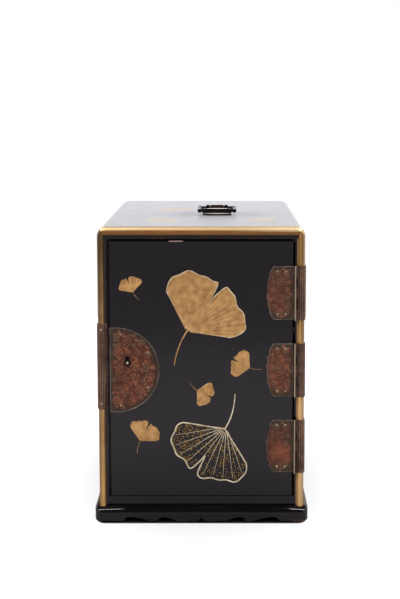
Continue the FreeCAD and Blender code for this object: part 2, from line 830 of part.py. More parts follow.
# Lock case let into the back of the door, open behind, with its end flush with the door's edge
case_x = (f"-{door_reach}", f"-{door_reach} + case_width")
case_z = (f"{key_z} - case_below", f"{key_z} + case_above")
case_blank = block("case_blank", case_x, (case_front, case_back), case_z)
case_hollow = block(
    "case_hollow",
    (f"{case_x[0]} + case_wall", f"{case_x[1]} - case_wall"),
    (f"{case_front} + case_wall", case_back),
    (f"{case_z[0]} + case_wall", f"{case_z[1]} - case_wall"),
)
bolt_way = block(
    "bolt_way",
    (case_x[0], f"{case_x[0]} + case_wall"),
    (f"{bolt_front} - bolt_clear", f"{bolt_front} + bolt_sheet + bolt_clear"),
    (f"{bolt_mid_z} - bolt_height / 2 - bolt_clear", f"{bolt_mid_z} + bolt_height / 2 + bolt_clear"),
)
case_keyhole = keyhole("case_keyhole", "key_clear", "case_wall", f"({case_front} + case_wall)")
keep(carved("lock_case_cut", case_blank, case_hollow, bolt_way, case_keyhole), "lock_case")

# Cover plate over the case, flush with the back of the door and held by four screws
cover_z = (f"{case_z[0]} - cover_flange", f"{case_z[1]} + cover_flange")
cover_blank = block("cover_blank", case_x, (case_back, door_rear), cover_z)
screws = []
for level in (f"({cover_z[0]} + cover_flange / 2)", f"({cover_z[1]} - cover_flange / 2)"):
    for place in (f"({case_x[0]} + cover_flange)", f"({case_x[1]} - cover_flange)"):
        name = f"lock_screw_{len(screws) + 1}"
        head_seat = (place, door_rear, level)
        head = cone(f"{name}_head", to_front, head_seat, "screw_head", "screw_shank", "cover_sheet")
        shank_ends = (f"{case_back} - screw_length", case_back)
        shank = rod(f"{name}_shank", "Y", (place, level), shank_ends, "screw_shank")
        screws.append(joined(name, head, shank))
lock_screws = gathered("lock_screws", screws)
keep(lock_screws, "lock_screws")
keep(carved("lock_cover_cut", cover_blank, lock_screws), "lock_cover")

# Post that the hollow key turns on, fixed in the cover and seen in the keyhole
key_post = rod("post", "Y", (key_x, key_z), (f"{plate_face} + plate_sheet / 2", case_back), "post_radius")
keep(key_post, "key_post")

# Door panel with eased front edges, cut for the lock, its cover and the keyhole
door_outline = [
    (f"-{door_reach}", door_foot),
    (door_reach, door_foot),
    (door_reach, door_head),
    (f"-{door_reach}", door_head),
]
door_blank = slab("door_blank", "XZ_Plane", door_outline, "door_board", ("0", door_rear, "0"))


def on_front(edge):
    """Edges of the door's outer face, in the door's own frame."""
    return all(abs(end.Point.y + number("door_board")) < 1e-6 for end in edge.Vertexes)


ease(door_blank, "Chamfer", "door_bevel", "door_edge", on_front)
case_pocket = block(
    "case_pocket",
    (case_x[0], f"{case_x[1]} + case_clear"),
    (f"{case_front} - case_clear", door_rear),
    (f"{case_z[0]} - case_clear", f"{case_z[1]} + case_clear"),
)
door_keyhole = keyhole("door_keyhole", "key_clear", f"{case_front} - {door_face}", case_front)
keep(carved("door", door_blank, case_pocket, cover_blank, door_keyhole), "door_panel")

# Lock bolt, drawn back at rest, with a notch for the key and its back spring below
bolt_bar = block(
    "bolt_bar",
    (bolt_tip, bolt_tail),
    (bolt_front, f"{bolt_front} + bolt_sheet"),
    (f"{bolt_mid_z} - bolt_height / 2", f"{bolt_mid_z} + bolt_height / 2"),
)
talon = block(
    "bolt_talon",
    (f"{key_x} - bolt_notch / 2", f"{key_x} + bolt_notch / 2"),
    (bolt_front, f"{bolt_front} + bolt_sheet"),
    (f"{bolt_mid_z} + bolt_height / 2 - notch_depth", f"{bolt_mid_z} + bolt_height / 2"),
)
keep(carved("bolt", bolt_bar, talon), "lock_bolt")
spring_top = f"({bolt_mid_z} - bolt_height / 2)"
spring_low = f"({case_z[0]} + case_wall + bolt_clear)"
spring_start = f"({bolt_tail} - spring_span)"
spring_middle = f"({bolt_tail} - spring_span / 2)"
spring_outline = [
    (spring_start, spring_top),
    (spring_middle, spring_low, "through"),
    (bolt_tail, spring_top),
    (f"{bolt_tail} - 2 * spring_sheet", spring_top),
    (spring_middle, f"{spring_low} + spring_sheet", "through"),
    (f"{spring_start} + 2 * spring_sheet", spring_top),
]
spring = slab("spring", "XZ_Plane", spring_outline, "bolt_sheet", ("0", f"{bolt_front} + bolt_sheet", "0"))
keep(spring, "bolt_spring")

# Eye pins through rosettes and the top board, with their two legs bent flat inside the cabinet
bail_z = f"({carcass_top} + bail_height)"
for side, place in eye_places.items():
    eye_ends = (f"{place} - eye_width / 2", f"{place} + eye_width / 2")
    eye = joined(
        f"{side}_eye_solid",
        rod(f"{side}_eye_ring", "X", ("0", bail_z), eye_ends, "eye_radius"),
        rod(f"{side}_eye_stem", "Z", (place, "0"), (f"{ceiling} - eye_leg_sheet", bail_z), "eye_shank"),
        block(
            f"{side}_eye_legs",
            (f"{place} - eye_shank", f"{place} + eye_shank"),
            ("-eye_leg", "eye_leg"),
            (f"{ceiling} - eye_leg_sheet", ceiling),
        ),
    )
    eye_hole = rod(f"{side}_eye_hole", "X", ("0", bail_z), eye_ends, "bail_bar + run_clear")
    keep(carved(f"{side}_eye", eye, eye_hole), f"{side}_eye_pin")
    rosette_section = [
        ("eye_shank + run_clear", "0"),
        ("rosette_radius", "0"),
        ("rosette_radius", "rosette_sheet - rosette_bevel"),
        ("rosette_radius - rosette_bevel", "rosette_sheet"),
        ("eye_shank + run_clear", "rosette_sheet"),
    ]
    keep(turned(f"{side}_rosette_disc", rosette_section, (place, "0", carcass_top)), f"{side}_rosette")

# Bail handle lying forward on the top: a bar through the eyes, swelled between them so that it cannot slide,
# two arms, knobs and a bevelled grip
bail_left = "(handle_offset - bail_width / 2)"
bail_right = "(handle_offset + bail_width / 2)"
grip_low = f"({carcass_top} + bail_rest)"
grip_outline = [
    ("handle_offset - grip_length / 2", grip_low),
    ("handle_offset + grip_length / 2", grip_low),
    ("handle_offset + grip_length / 2", f"{grip_low} + grip_height"),
    ("handle_offset", f"{grip_low} + grip_height + grip_crown", "through"),
    ("handle_offset - grip_length / 2", f"{grip_low} + grip_height"),
]
grip = slab("grip", "XZ_Plane", grip_outline, "grip_depth", ("0", "-bail_reach + grip_depth / 2", "0"))


swell_half = "(eye_spacing / 2 - eye_width / 2 - swell_clear)"
swell_low = f"({bail_z} - swell_height / 2)"
swell_outline = [
    (f"handle_offset - {swell_half}", swell_low),
    (f"handle_offset + {swell_half}", swell_low),
    (f"handle_offset + {swell_half}", f"{swell_low} + swell_height"),
    (f"handle_offset - {swell_half}", f"{swell_low} + swell_height"),
]
swell = slab("swell", "XZ_Plane", swell_outline, "swell_depth", ("0", "swell_depth / 2", "0"))


def runs_along(edge):
    """Edges of the grip and the swell that run from end to end."""
    return abs(edge.Vertexes[0].Point.x - edge.Vertexes[-1].Point.x) > 1


ease(grip, "Chamfer", "grip_facets", "grip_bevel", runs_along)
ease(swell, "Chamfer", "swell_facets", "swell_bevel", runs_along)
bail_ends = (bail_left, bail_right)
bail_pieces = [
    grip,
    rod("grip_bar", "X", ("-bail_reach", bail_z), bail_ends, "bail_bar"),
    rod("bail_axle", "X", ("0", bail_z), bail_ends, "bail_bar"),
    swell,
]
upright = FreeCAD.Vector(0, 0, 1)
for side, place, knob_seam, elbow_seam in (("left", bail_left, 225, 135), ("right", bail_right, 315, 45)):
    bail_pieces.append(rod(f"bail_{side}_arm", "Y", (place, bail_z), ("-bail_reach", "0"), "bail_bar"))
    corners = (("knob", "-bail_reach", "bail_knob", knob_seam), ("elbow", "0", "bail_elbow", elbow_seam))
    for name, along, radius, seam in corners:
        ball = doc.addObject("Part::Sphere", f"bail_{side}_{name}")
        ball.Placement = FreeCAD.Placement(FreeCAD.Vector(), FreeCAD.Rotation(upright, seam))
        bind(ball, "Radius", radius)
        seat(ball, place, along, bail_z)
        bail_pieces.append(ball)
keep(joined("bail", *bail_pieces), "bail_handle")

doc.recompute()
broken = [thing.Name for thing in doc.Objects if "Invalid" in thing.State or "Error" in thing.State]
if broken:
    raise RuntimeError(f"failed to build: {', '.join(broken)}")
for piece in sub_parts:
    if piece.Shape.isNull() or not piece.Shape.isValid():
        raise RuntimeError(f"no sound shape: {piece.Label}")
os.makedirs("parts", exist_ok=True)
for piece in sub_parts:
    piece.Shape.exportStep(f"parts/{piece.Label}.step")
    print(f"{piece.Label}: {len(piece.Shape.Solids)} solid(s), {piece.Shape.Volume:.1f} mm3")
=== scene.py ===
import math

import bmesh
import bpy
from mathutils import Matrix, Vector


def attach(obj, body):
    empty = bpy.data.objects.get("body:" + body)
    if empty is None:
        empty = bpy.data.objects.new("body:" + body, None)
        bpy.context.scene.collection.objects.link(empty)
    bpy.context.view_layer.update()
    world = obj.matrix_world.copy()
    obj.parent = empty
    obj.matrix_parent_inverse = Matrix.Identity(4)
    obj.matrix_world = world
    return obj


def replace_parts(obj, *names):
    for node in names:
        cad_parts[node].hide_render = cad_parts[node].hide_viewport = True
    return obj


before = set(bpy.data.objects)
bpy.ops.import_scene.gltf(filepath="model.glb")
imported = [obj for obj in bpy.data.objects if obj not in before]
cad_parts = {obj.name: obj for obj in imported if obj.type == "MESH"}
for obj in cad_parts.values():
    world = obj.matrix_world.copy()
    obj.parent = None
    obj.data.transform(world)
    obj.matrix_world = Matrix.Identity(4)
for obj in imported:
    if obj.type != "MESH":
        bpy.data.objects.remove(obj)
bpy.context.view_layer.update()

# The base: four rails of lacquered wood, mitred at the corners, with rounded edges and cusped aprons.
# Its black lacquer is polished to a high gloss, and at the feet it is worn through to the brown ground.
mm = 0.001


def linear(code):
    """An sRGB hex colour as the linear colour that Blender's sockets take."""
    shares = [int(code[place:place + 2], 16) / 255 for place in (1, 3, 5)]
    return *(s / 12.92 if s <= 0.04045 else ((s + 0.055) / 1.055) ** 2.4 for s in shares), 1.0


def feed(node, inputs):
    """Link or set a node's inputs."""
    for name, value in inputs.items():
        if isinstance(value, bpy.types.NodeSocket):
            node.id_data.links.new(value, node.inputs[name])
        else:
            node.inputs[name].default_value = value


def put(tree, kind, inputs=None, **settings):
    """Add a node with its settings and inputs, and give its outputs. A shader node's kind has no prefix."""
    node = tree.nodes.new(kind if "Node" in kind else f"ShaderNode{kind}")
    for name, value in settings.items():
        setattr(node, name, value)
    feed(node, inputs or {})
    return node.outputs


def finish_named(name, **values):
    """A new material, its shader with constant values, and where its surface is in Object coordinates."""
    material = bpy.data.materials.new(name)
    material.use_nodes = True
    shader = material.node_tree.nodes["Principled BSDF"]
    feed(shader, {socket.replace("_", " "): value for socket, value in values.items()})
    return material, shader, put(material.node_tree, "TexCoord")["Object"]


# A Mix node's sockets: two tones and their mix, or two plain values and theirs.
tone_low, tone_high, tone_out = 6, 7, 2
value_low, value_high, value_out = 2, 3, 0


def lay_over(shader, mask, finish):
    """Mix other values over a shader's inputs where the mask is 1."""
    for name, value in finish.items():
        socket = shader.inputs[name]
        under = socket.links[0].from_socket if socket.links else socket.default_value
        kind, low, high, out = "FLOAT", value_low, value_high, value_out
        if socket.type == "RGBA":
            kind, low, high, out = "RGBA", tone_low, tone_high, tone_out
        mixed = put(shader.id_data, "Mix", {0: mask, low: under, high: value}, data_type=kind)
        feed(shader, {name: mixed[out]})


def clouded(shader, spot, width, detail, tones, spread=(0.0, 1.0)):
    """Colour a finish in clouds of two tones, as wide as a width in millimetres."""
    tree = shader.id_data
    clouds = put(tree, "TexNoise", {"Vector": spot, "Scale": 1 / (width * mm), "Detail": detail})["Fac"]
    share = put(tree, "MapRange", {"Value": clouds, "From Min": spread[0], "From Max": spread[1]})[0]
    mixed = {0: share, tone_low: linear(tones[0]), tone_high: linear(tones[1])}
    feed(shader, {"Base Color": put(tree, "Mix", mixed, data_type="RGBA")[tone_out]})


def uneven(shader, spot, width, detail, strength, depth):
    """Make a finish finely uneven, its marks of a width and a depth in millimetres."""
    tree = shader.id_data
    marks = put(tree, "TexNoise", {"Vector": spot, "Scale": 1 / (width * mm), "Detail": detail})["Fac"]
    bump = put(tree, "Bump", {"Height": marks, "Strength": strength, "Distance": depth * mm})
    feed(shader, {"Normal": bump[0]})


def black_lacquer(name, dull, bright, bloom=0.0):
    """Black lacquer in thin coats, rubbed down and polished by hand: deep black, clear reflections that
    waver a little, and faint rubbing marks that run across the piece. Wax leaves a pale bloom on it that
    shows only at a flat angle."""
    material, shader, spot = finish_named(
        name,
        IOR=1.5,
        Specular_Tint=linear("#f4ecf8"),
        Sheen_Weight=bloom,
        Sheen_Roughness=0.3,
        Sheen_Tint=linear("#f3f3fc"),
    )
    tree = shader.id_data
    rub_width = 1.6 * mm
    clouded(shader, spot, width=45, detail=3.0, tones=("#060506", "#141113"))
    across = put(tree, "Mapping", {"Vector": spot, "Scale": (0.04, 0.04, 1.0)})[0]
    rubbing = put(tree, "TexNoise", {"Vector": across, "Scale": 1 / rub_width, "Detail": 2.0})["Fac"]
    gloss = {"Value": rubbing, "From Min": 0.3, "From Max": 0.75, "To Min": bright, "To Max": dull}
    feed(shader, {"Roughness": put(tree, "MapRange", gloss)[0]})
    uneven(shader, spot, width=30, detail=1.0, strength=0.12, depth=0.4)
    return material, shader, spot


def dress(material, *names):
    """Give CAD pieces their real finish."""
    for name in names:
        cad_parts[name].material_slots[0].material = material


base_lacquer, base_shader, base_spot = black_lacquer("black_lacquer_on_base", dull=0.045, bright=0.02)
base_tree = base_lacquer.node_tree
chip_width = 7 * mm
chips = {"Vector": base_spot, "Scale": 1 / chip_width, "Detail": 6.0}
chips = put(base_tree, "TexNoise", chips)["Fac"]
worn_foot = (134 * mm, -177 * mm, 3 * mm)
from_foot = put(base_tree, "VectorMath", {0: base_spot, 1: worn_foot}, operation="DISTANCE")["Value"]
scuffed = {"Value": from_foot, "From Min": 14 * mm, "From Max": 3 * mm, "To Max": 0.22}
scuffed = put(base_tree, "MapRange", scuffed)[0]
worn_level = put(base_tree, "Math", {0: chips, 1: scuffed}, operation="ADD")[0]
worn_through = put(base_tree, "MapRange", {"Value": worn_level, "From Min": 0.56, "From Max": 0.66})[0]
base_z = put(base_tree, "SeparateXYZ", {"Vector": base_spot})["Z"]
at_foot = {"Value": base_z, "From Min": 5.5 * mm, "From Max": 0.5 * mm, "To Max": worn_through}
worn = put(base_tree, "MapRange", at_foot, interpolation_type="SMOOTHSTEP")[0]
lay_over(base_shader, worn, {"Base Color": linear("#6a4636"), "Roughness": 0.5})
dress(base_lacquer, *(f"base_{side}_rail" for side in ("front", "back", "left", "right")))

# The glue blocks in the base's inner corners: plain cedar offcuts, rubbed in with glue behind each mitre.
# They are left bare, so the wood is matt, and its straight grain shows in light and dark bands.
cedar, cedar_shader, cedar_spot = finish_named("bare_cedar", Roughness=0.62, Specular_IOR_Level=0.3)
ring_width = 3.5 * mm
grain = {"Vector": cedar_spot, "Scale": 0.3 / ring_width, "Distortion": 3.0}
grain |= {"Detail": 3.0, "Detail Scale": 0.6}
grain = put(cedar.node_tree, "TexWave", grain, bands_direction="Z")["Fac"]
cedar_tone = {0: grain, tone_low: linear("#b98d5f"), tone_high: linear("#8a5f3a")}
feed(cedar_shader, {"Base Color": put(cedar.node_tree, "Mix", cedar_tone, data_type="RGBA")[tone_out]})
dress(cedar, "base_glue_blocks")

# The carcass: sides, bottom and back of thin boards, with two shelves in housings, door stops, and hollow
# mouldings at the foot of the sides. It is black lacquer outside. Inside, gold flakes are sprinkled in clear
# reddish lacquer, and the front edges beside the door are gilded.
flake_size = 1.5 * mm
front_edge = -169.6
lining_side, lining_back, lining_mouth, lining_floor, lining_top = 127.3, 167.3, -128, 33.7, 390.9


def sprinkle(shader, spot, mask=None):
    """Gold flakes under clear lacquer, all over or on reddish ground where the mask is 1. Real flakes are
    half as large, too fine to show here."""
    tree = shader.id_data
    drift_width = 28 * mm
    flakes = put(tree, "TexVoronoi", {"Vector": spot, "Scale": 1 / flake_size})
    chance = put(tree, "SeparateColor", {"Color": flakes["Color"]})[0]
    drift = put(tree, "TexNoise", {"Vector": spot, "Scale": 1 / drift_width, "Detail": 2.0})["Fac"]
    spread = {"Value": drift, "From Min": 0.3, "From Max": 0.7, "To Min": 0.1, "To Max": 0.5}
    thick = put(tree, "MapRange", spread)[0]
    present = put(tree, "Math", {0: chance, 1: thick}, operation="LESS_THAN")[0]
    near = put(tree, "Math", {0: flakes["Distance"], 1: 0.42}, operation="LESS_THAN")[0]
    flake = put(tree, "Math", {0: present, 1: near}, operation="MULTIPLY")[0]
    if mask:
        flake = put(tree, "Math", {0: flake, 1: mask}, operation="MULTIPLY")[0]
        lay_over(shader, mask, {"Base Color": linear("#2c160c")})
    lay_over(shader, flake, {"Base Color": linear("#c8963f"), "Metallic": 0.9, "Roughness": 0.3})


def where(*tests):
    """A mask of the places that pass every test: a measure, how it compares, and a limit in millimetres."""
    mask = None
    for place, test, limit in tests:
        passed = put(place.id_data, "Math", {0: place, 1: limit * mm}, operation=test)[0]
        if mask:
            passed = put(place.id_data, "Math", {0: passed, 1: mask}, operation="MULTIPLY")[0]
        mask = passed
    return mask


def tone_band(shader, place, bare, full, tone, share=1.0, **more):
    """Tone a finish along a measure, from none at one value to the full share at another, in millimetres."""
    reach = {"Value": place, "From Min": bare * mm, "From Max": full * mm, "To Max": share}
    mask = put(shader.id_data, "MapRange", reach)[0]
    lay_over(shader, mask, {"Base Color": linear(tone), **more})


carcass_lacquer, carcass_shader, carcass_spot = black_lacquer(
    "black_lacquer_on_carcass", dull=0.2, bright=0.1
)
carcass_tree = carcass_lacquer.node_tree
carcass_axes = put(carcass_tree, "SeparateXYZ", {"Vector": carcass_spot})
inside = where(
    (put(carcass_tree, "Math", {0: carcass_axes["X"]}, operation="ABSOLUTE")[0], "LESS_THAN", lining_side),
    (carcass_axes["Y"], "LESS_THAN", lining_back),
    (carcass_axes["Y"], "GREATER_THAN", lining_mouth),
    (carcass_axes["Z"], "GREATER_THAN", lining_floor),
    (carcass_axes["Z"], "LESS_THAN", lining_top),
)
sprinkle(carcass_shader, carcass_spot, inside)
on_front = where((carcass_axes["Y"], "LESS_THAN", front_edge))
for inner, outer, tone in ((129.2, 129.8, "#a57f52"), (-129.6, -130.4, "#4a3826")):
    tone_band(carcass_shader, carcass_axes["X"], inner, outer, tone, on_front, Roughness=0.4)
dress(carcass_lacquer, "bottom_board", "left_side", "right_side", "back_panel", "lower_shelf", "upper_shelf")
dress(carcass_lacquer, "left_cove", "right_cove", "left_door_stop", "top_door_stop")

# The top board: one board under the same lacquer, with rounded long edges, glued down on the sides. It is
# waxed, so at a flat angle it takes on the white of the room behind it. Its underside is sprinkled too.
top_lacquer, top_shader, top_spot = black_lacquer("waxed_lacquer_on_top", dull=0.34, bright=0.28, bloom=0.85)
top_z = put(top_lacquer.node_tree, "SeparateXYZ", {"Vector": top_spot})["Z"]
sprinkle(top_shader, top_spot, where((top_z, "LESS_THAN", lining_top)))
dress(top_lacquer, "top_board")

# The bead: a half-round moulding glued round the front of the carcass in three mitred lengths. It is gilded
# with gold powder on lacquer over a red-brown ground, which shows where the gold is rubbed. Bands of painted
# highlight and painted shade along and across it stand in for how the light falls on its round.
half_width, frame_face, bead_front = 140, -170, -175
carcass_foot, carcass_top = 21, 408
side_bead, top_bead, corner_round = 9, 13.4, 13.8
mitre_gap = 0.35
inner_x, inner_z = half_width - side_bead, carcass_top - top_bead
round_x, round_z = half_width - corner_round, carcass_top - corner_round
corner_steps, length_steps = 8, 24


def gilding(name, grain=(1, 1, 1), varnish=0.0, burnish=0.34, metal=0.85, tones=("#9c7346", "#cfa470")):
    """Gold powder burnished on lacquer: a soft metal sheen, uneven in tone, with rubbed and dusty spots.
    The grain stretches the tone along one axis, as the gold was brushed along the piece. Clear varnish over
    it shows white at a flat angle."""
    material, shader, spot = finish_named(
        name, Metallic=metal, Roughness=burnish, Coat_Weight=varnish, Coat_Roughness=0.1
    )
    tree = shader.id_data
    rub_width = 5 * mm
    brushed = put(tree, "Mapping", {"Vector": spot, "Scale": grain})[0]
    clouded(shader, brushed, width=9, detail=5.0, tones=tones, spread=(0.32, 0.7))
    rub = {"Vector": spot, "Scale": 1 / rub_width, "Detail": 6.0, "Roughness": 0.65}
    rub = put(tree, "TexNoise", rub)["Fac"]
    rubbed = put(tree, "MapRange", {"Value": rub, "From Min": 0.61, "From Max": 0.7})[0]
    lay_over(shader, rubbed, {"Base Color": linear("#62442a"), "Roughness": 0.5})
    uneven(shader, spot, width=0.9, detail=3.0, strength=0.3, depth=0.1)
    return material, shader, spot


def solid(name, points, faces, material, crease=40):
    """A closed mesh in place, its points in millimetres, its faces outwards and its sharp edges kept."""
    mesh = bpy.data.meshes.new(name)
    mesh.from_pydata([(x * mm, y * mm, z * mm) for x, y, z in points], [], faces)
    shell = bmesh.new()
    shell.from_mesh(mesh)
    bmesh.ops.remove_doubles(shell, verts=shell.verts, dist=0.002 * mm)
    bmesh.ops.recalc_face_normals(shell, faces=shell.faces)
    shell.to_mesh(mesh)
    shell.free()
    mesh.polygons.foreach_set("use_smooth", [True] * len(mesh.polygons))
    mesh.set_sharp_from_angle(angle=math.radians(crease))
    mesh.materials.append(material)
    thing = bpy.data.objects.new(name, mesh)
    bpy.context.scene.collection.objects.link(thing)
    return thing


def swept(name, rings, material, crease=40):
    """A closed bar through like sections, capped at both ends."""
    around = len(rings[0])
    points = [point for ring in rings for point in ring]
    faces = [list(range(around)), list(range(len(points) - around, len(points)))]
    for row in range(len(rings) - 1):
        for place in range(around):
            after = (place + 1) % around
            low, high = row * around, (row + 1) * around
            faces.append((low + place, low + after, high + after, high + place))
    return solid(name, points, faces, material, crease)


def bead_ring(outer, inner):
    """The bead's section between a point of its outer edge and one of its inner edge."""
    steps = 14
    ring = []
    for step in range(steps + 1):
        swing = math.pi * step / steps
        share = (1 - math.cos(swing)) / 2
        x = outer[0] + (inner[0] - outer[0]) * share
        z = outer[1] + (inner[1] - outer[1]) * share
        ring.append((x, frame_face + (bead_front - frame_face) * math.sin(swing), z))
    return ring


def corner_ring(sign, degrees):
    """The section at one angle of the rounded corner, from the side at 0 to the top at 90."""
    turn = math.radians(degrees)
    x = round_x + corner_round * math.cos(turn)
    z = round_z + corner_round * math.sin(turn)
    return bead_ring((sign * x, z), (sign * inner_x, inner_z))


side_gold, side_shader, side_spot = gilding("gilt_lacquer_side_bead", grain=(1.0, 1.0, 0.25), metal=0.55)
top_gold, crown_shader, crown_spot = gilding("gilt_lacquer_top_bead", grain=(0.25, 1.0, 1.0), metal=0.55)
side_tree, crown_tree = side_gold.node_tree, top_gold.node_tree
side_axes = put(side_tree, "SeparateXYZ", {"Vector": side_spot})
crown_axes = put(crown_tree, "SeparateXYZ", {"Vector": crown_spot})
side_z, crown_z = side_axes["Z"], crown_axes["Z"]
across = put(side_tree, "Math", {0: side_axes["X"]}, operation="ABSOLUTE")[0]
on_left = where((side_axes["X"], "LESS_THAN", 0))
on_right = put(side_tree, "Math", {0: 0.85, 1: on_left}, operation="SUBTRACT", use_clamp=True)[0]
left_share, left_outer_painted_shade = (
    put(side_tree, "Math", {0: on_left, 1: share}, operation="MULTIPLY")[0] for share in (0.9, 0.6)
)
quirk_painted_shade = put(side_tree, "MapRange", {"Value": on_left, "To Min": 0.05, "To Max": 0.8})[0]
lower_down = {"Value": side_z, "From Min": 310 * mm, "From Max": 170 * mm, "To Min": 0.3}
lower_down = put(side_tree, "MapRange", lower_down)[0]
inner_painted_highlight = put(side_tree, "Math", {0: on_right, 1: lower_down}, operation="MULTIPLY")[0]
right_end_painted_highlight = {"Value": crown_axes["X"], "From Min": 40 * mm, "From Max": 120 * mm, "To Max": 0.8}
right_end_painted_highlight = put(crown_tree, "MapRange", right_end_painted_highlight)[0]
# Painted light on the bead: the left bead is painted dark above and bright low down, and the right one
# darker above and brighter low down, with a painted highlight on its inner half and painted grey shade on
# its outer half. The left bead's outer half and the quirk at both beads' inner edge are painted dark as
# shade. The top bead is painted dark on its lower half and darkest at its inner edge, bright on its upper
# half, pale near its top edge as a painted reflection, and brighter towards its right end as a painted
# highlight.
for band in (
    (side_shader, side_z, 225, 380, "#433215", left_share),
    (side_shader, side_z, 110, 50, "#e2b06c", left_share),
    (side_shader, side_z, 170, 290, "#7b5122", on_right),
    (side_shader, side_z, 170, 100, "#e8b985", on_right),
    (side_shader, across, inner_x + 5.0, inner_x + 2.6, "#fcca84", inner_painted_highlight),
    (side_shader, across, inner_x + 4.5, inner_x + 8.5, "#8d7866", on_right),
    (side_shader, across, inner_x + 3.5, inner_x + 7.0, "#543c20", left_outer_painted_shade),
    (side_shader, across, inner_x + 1.8, inner_x + 0.2, "#4d3418", quirk_painted_shade),
    (crown_shader, crown_z, inner_z + 8.4, inner_z + 6.4, "#7c4c1b", 0.85),
    (crown_shader, crown_z, inner_z + 3.0, inner_z + 0.4, "#3f2d15", 0.5),
    (crown_shader, crown_z, inner_z + 7.2, inner_z + 9.2, "#fccf90", 0.9),
    (crown_shader, crown_z, inner_z + 10.6, inner_z + 12.0, "#d6c9c0", 0.7),
    (crown_shader, crown_z, inner_z + 5.6, inner_z + 7.8, "#ffdfae", right_end_painted_highlight),
):
    tone_band(*band)
corner_turn = 45 - math.degrees(mitre_gap / corner_round / 2)
levels = [carcass_foot + (inner_z - carcass_foot) * step / length_steps for step in range(length_steps + 1)]
for side, sign in (("left", -1), ("right", 1)):
    rings = [bead_ring((sign * half_width, z), (sign * inner_x, z)) for z in levels]
    rings += [corner_ring(sign, corner_turn * step / corner_steps) for step in range(1, corner_steps + 1)]
    bead = swept(f"gilt_{side}_bead", rings, side_gold)
    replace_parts(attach(bead, "carcass"), f"{side}_bead")
turns = [90 - corner_turn + corner_turn * step / corner_steps for step in range(corner_steps + 1)]
half_top = [corner_ring(1, turn) for turn in turns]
spans = [inner_x * (1 - 2 * step / length_steps) for step in range(1, length_steps)]
rings = half_top + [bead_ring((x, carcass_top), (x, inner_z)) for x in spans]
rings += [[(-x, y, z) for x, y, z in ring] for ring in half_top[::-1]]
bead = swept("gilt_top_bead", rings, top_gold)
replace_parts(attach(bead, "carcass"), "top_bead")

# The edge lines: gold powder drawn back along both rounded edges of the top, from the bead to the rear.
# Each is painted on the lacquer and varnished over, so it is paler than the bead and hardly raised.
line_lift, line_low, line_high, line_step = 0.05, 30, 60, 5
line_stations = (-170, -85, 0, 85, 174.5)
edge_gold = gilding(
    "gilt_lacquer_edge_line", grain=(1.0, 0.25, 1.0), varnish=0.8, metal=0.4, tones=("#8d7f6c", "#b5a690")
)[0]
outwards, inwards = range(line_low, line_high + 1, line_step), range(line_high, line_low - 1, -line_step)
for side, sign in (("left", -1), ("right", 1)):
    section = []
    for reach, turns in ((corner_round + line_lift, outwards), (corner_round - line_lift, inwards)):
        for degrees in turns:
            turn = math.radians(90 - degrees)
            section.append((sign * (round_x + reach * math.cos(turn)), round_z + reach * math.sin(turn)))
    rings = [[(x, y, z) for x, z in section] for y in line_stations]
    edge_line = swept(f"gilt_{side}_edge_line", rings, edge_gold, crease=60)
    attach(edge_line, "carcass")

# The door: one board under black lacquer, bevelled round its face and sprinkled with gold on the back. It
# hangs on three hinges at the right, and one spot of its upper bevel is chipped to the pale ground.
door_face, door_rear, door_head = -172, -157, 387.9


def tone_round(shader, spot, place, bare, full, tone, share=1.0, **more):
    """Tone a finish round a place, from none at one distance to the full share at another."""
    there = [value * mm for value in place]
    away = put(shader.id_data, "VectorMath", {0: spot, 1: there}, operation="DISTANCE")["Value"]
    tone_band(shader, away, bare, full, tone, share, **more)


door_lacquer, door_shader, door_spot = black_lacquer("black_lacquer_on_door", dull=0.22, bright=0.12)
door_tree = door_lacquer.node_tree
door_axes = put(door_tree, "SeparateXYZ", {"Vector": door_spot})
sprinkle(door_shader, door_spot, where((door_axes["Y"], "GREATER_THAN", door_rear - 0.3)))
chip = (-34, door_face + 0.5, door_head - 0.4)
on_bevel = where((door_axes["Z"], "GREATER_THAN", door_head - 0.85))
tone_round(door_shader, door_spot, chip, bare=11, full=7, tone="#a98a80", share=on_bevel, Roughness=0.5)
dress(door_lacquer, "door_panel")

# The gold design on the door: falling ginkgo leaves, drawn in lacquer and dusted with gold powder while wet,
# so each leaf stands a little proud. One is only outlined, over a sprinkled ground.
standing = Matrix(((1, 0, 0, 0), (0, 0, -1, door_face * mm), (0, 1, 0, 0), (0, 0, 0, 1)))
half_fan = math.radians(62)
rays, ray_rings = 124, 14
vein_count = 21
leaf_sunk = 0.06


def leaf_reach(angle, phase):
    """How far the blade runs from its stalk at an angle, as a share of its length."""
    share = angle / half_fan
    notch_depth, notch_width = 0.34, 0.045
    wave = 0.028 * math.sin(9 * angle + phase) + 0.014 * math.sin(21 * angle + 2 * phase)
    notch = notch_depth * math.exp(-((angle - 0.03 * math.sin(phase)) / notch_width) ** 2)
    return 0.97 - 0.07 * share ** 4 - 0.16 * share ** 14 + wave - notch


def leaf_seat(plane, x, y, turn):
    """Where a leaf lies on a plane: its stalk's joint, and its turn clockwise from upright."""
    return plane @ Matrix.Translation((x * mm, y * mm, 0)) @ Matrix.Rotation(math.radians(-turn), 4, "Z")


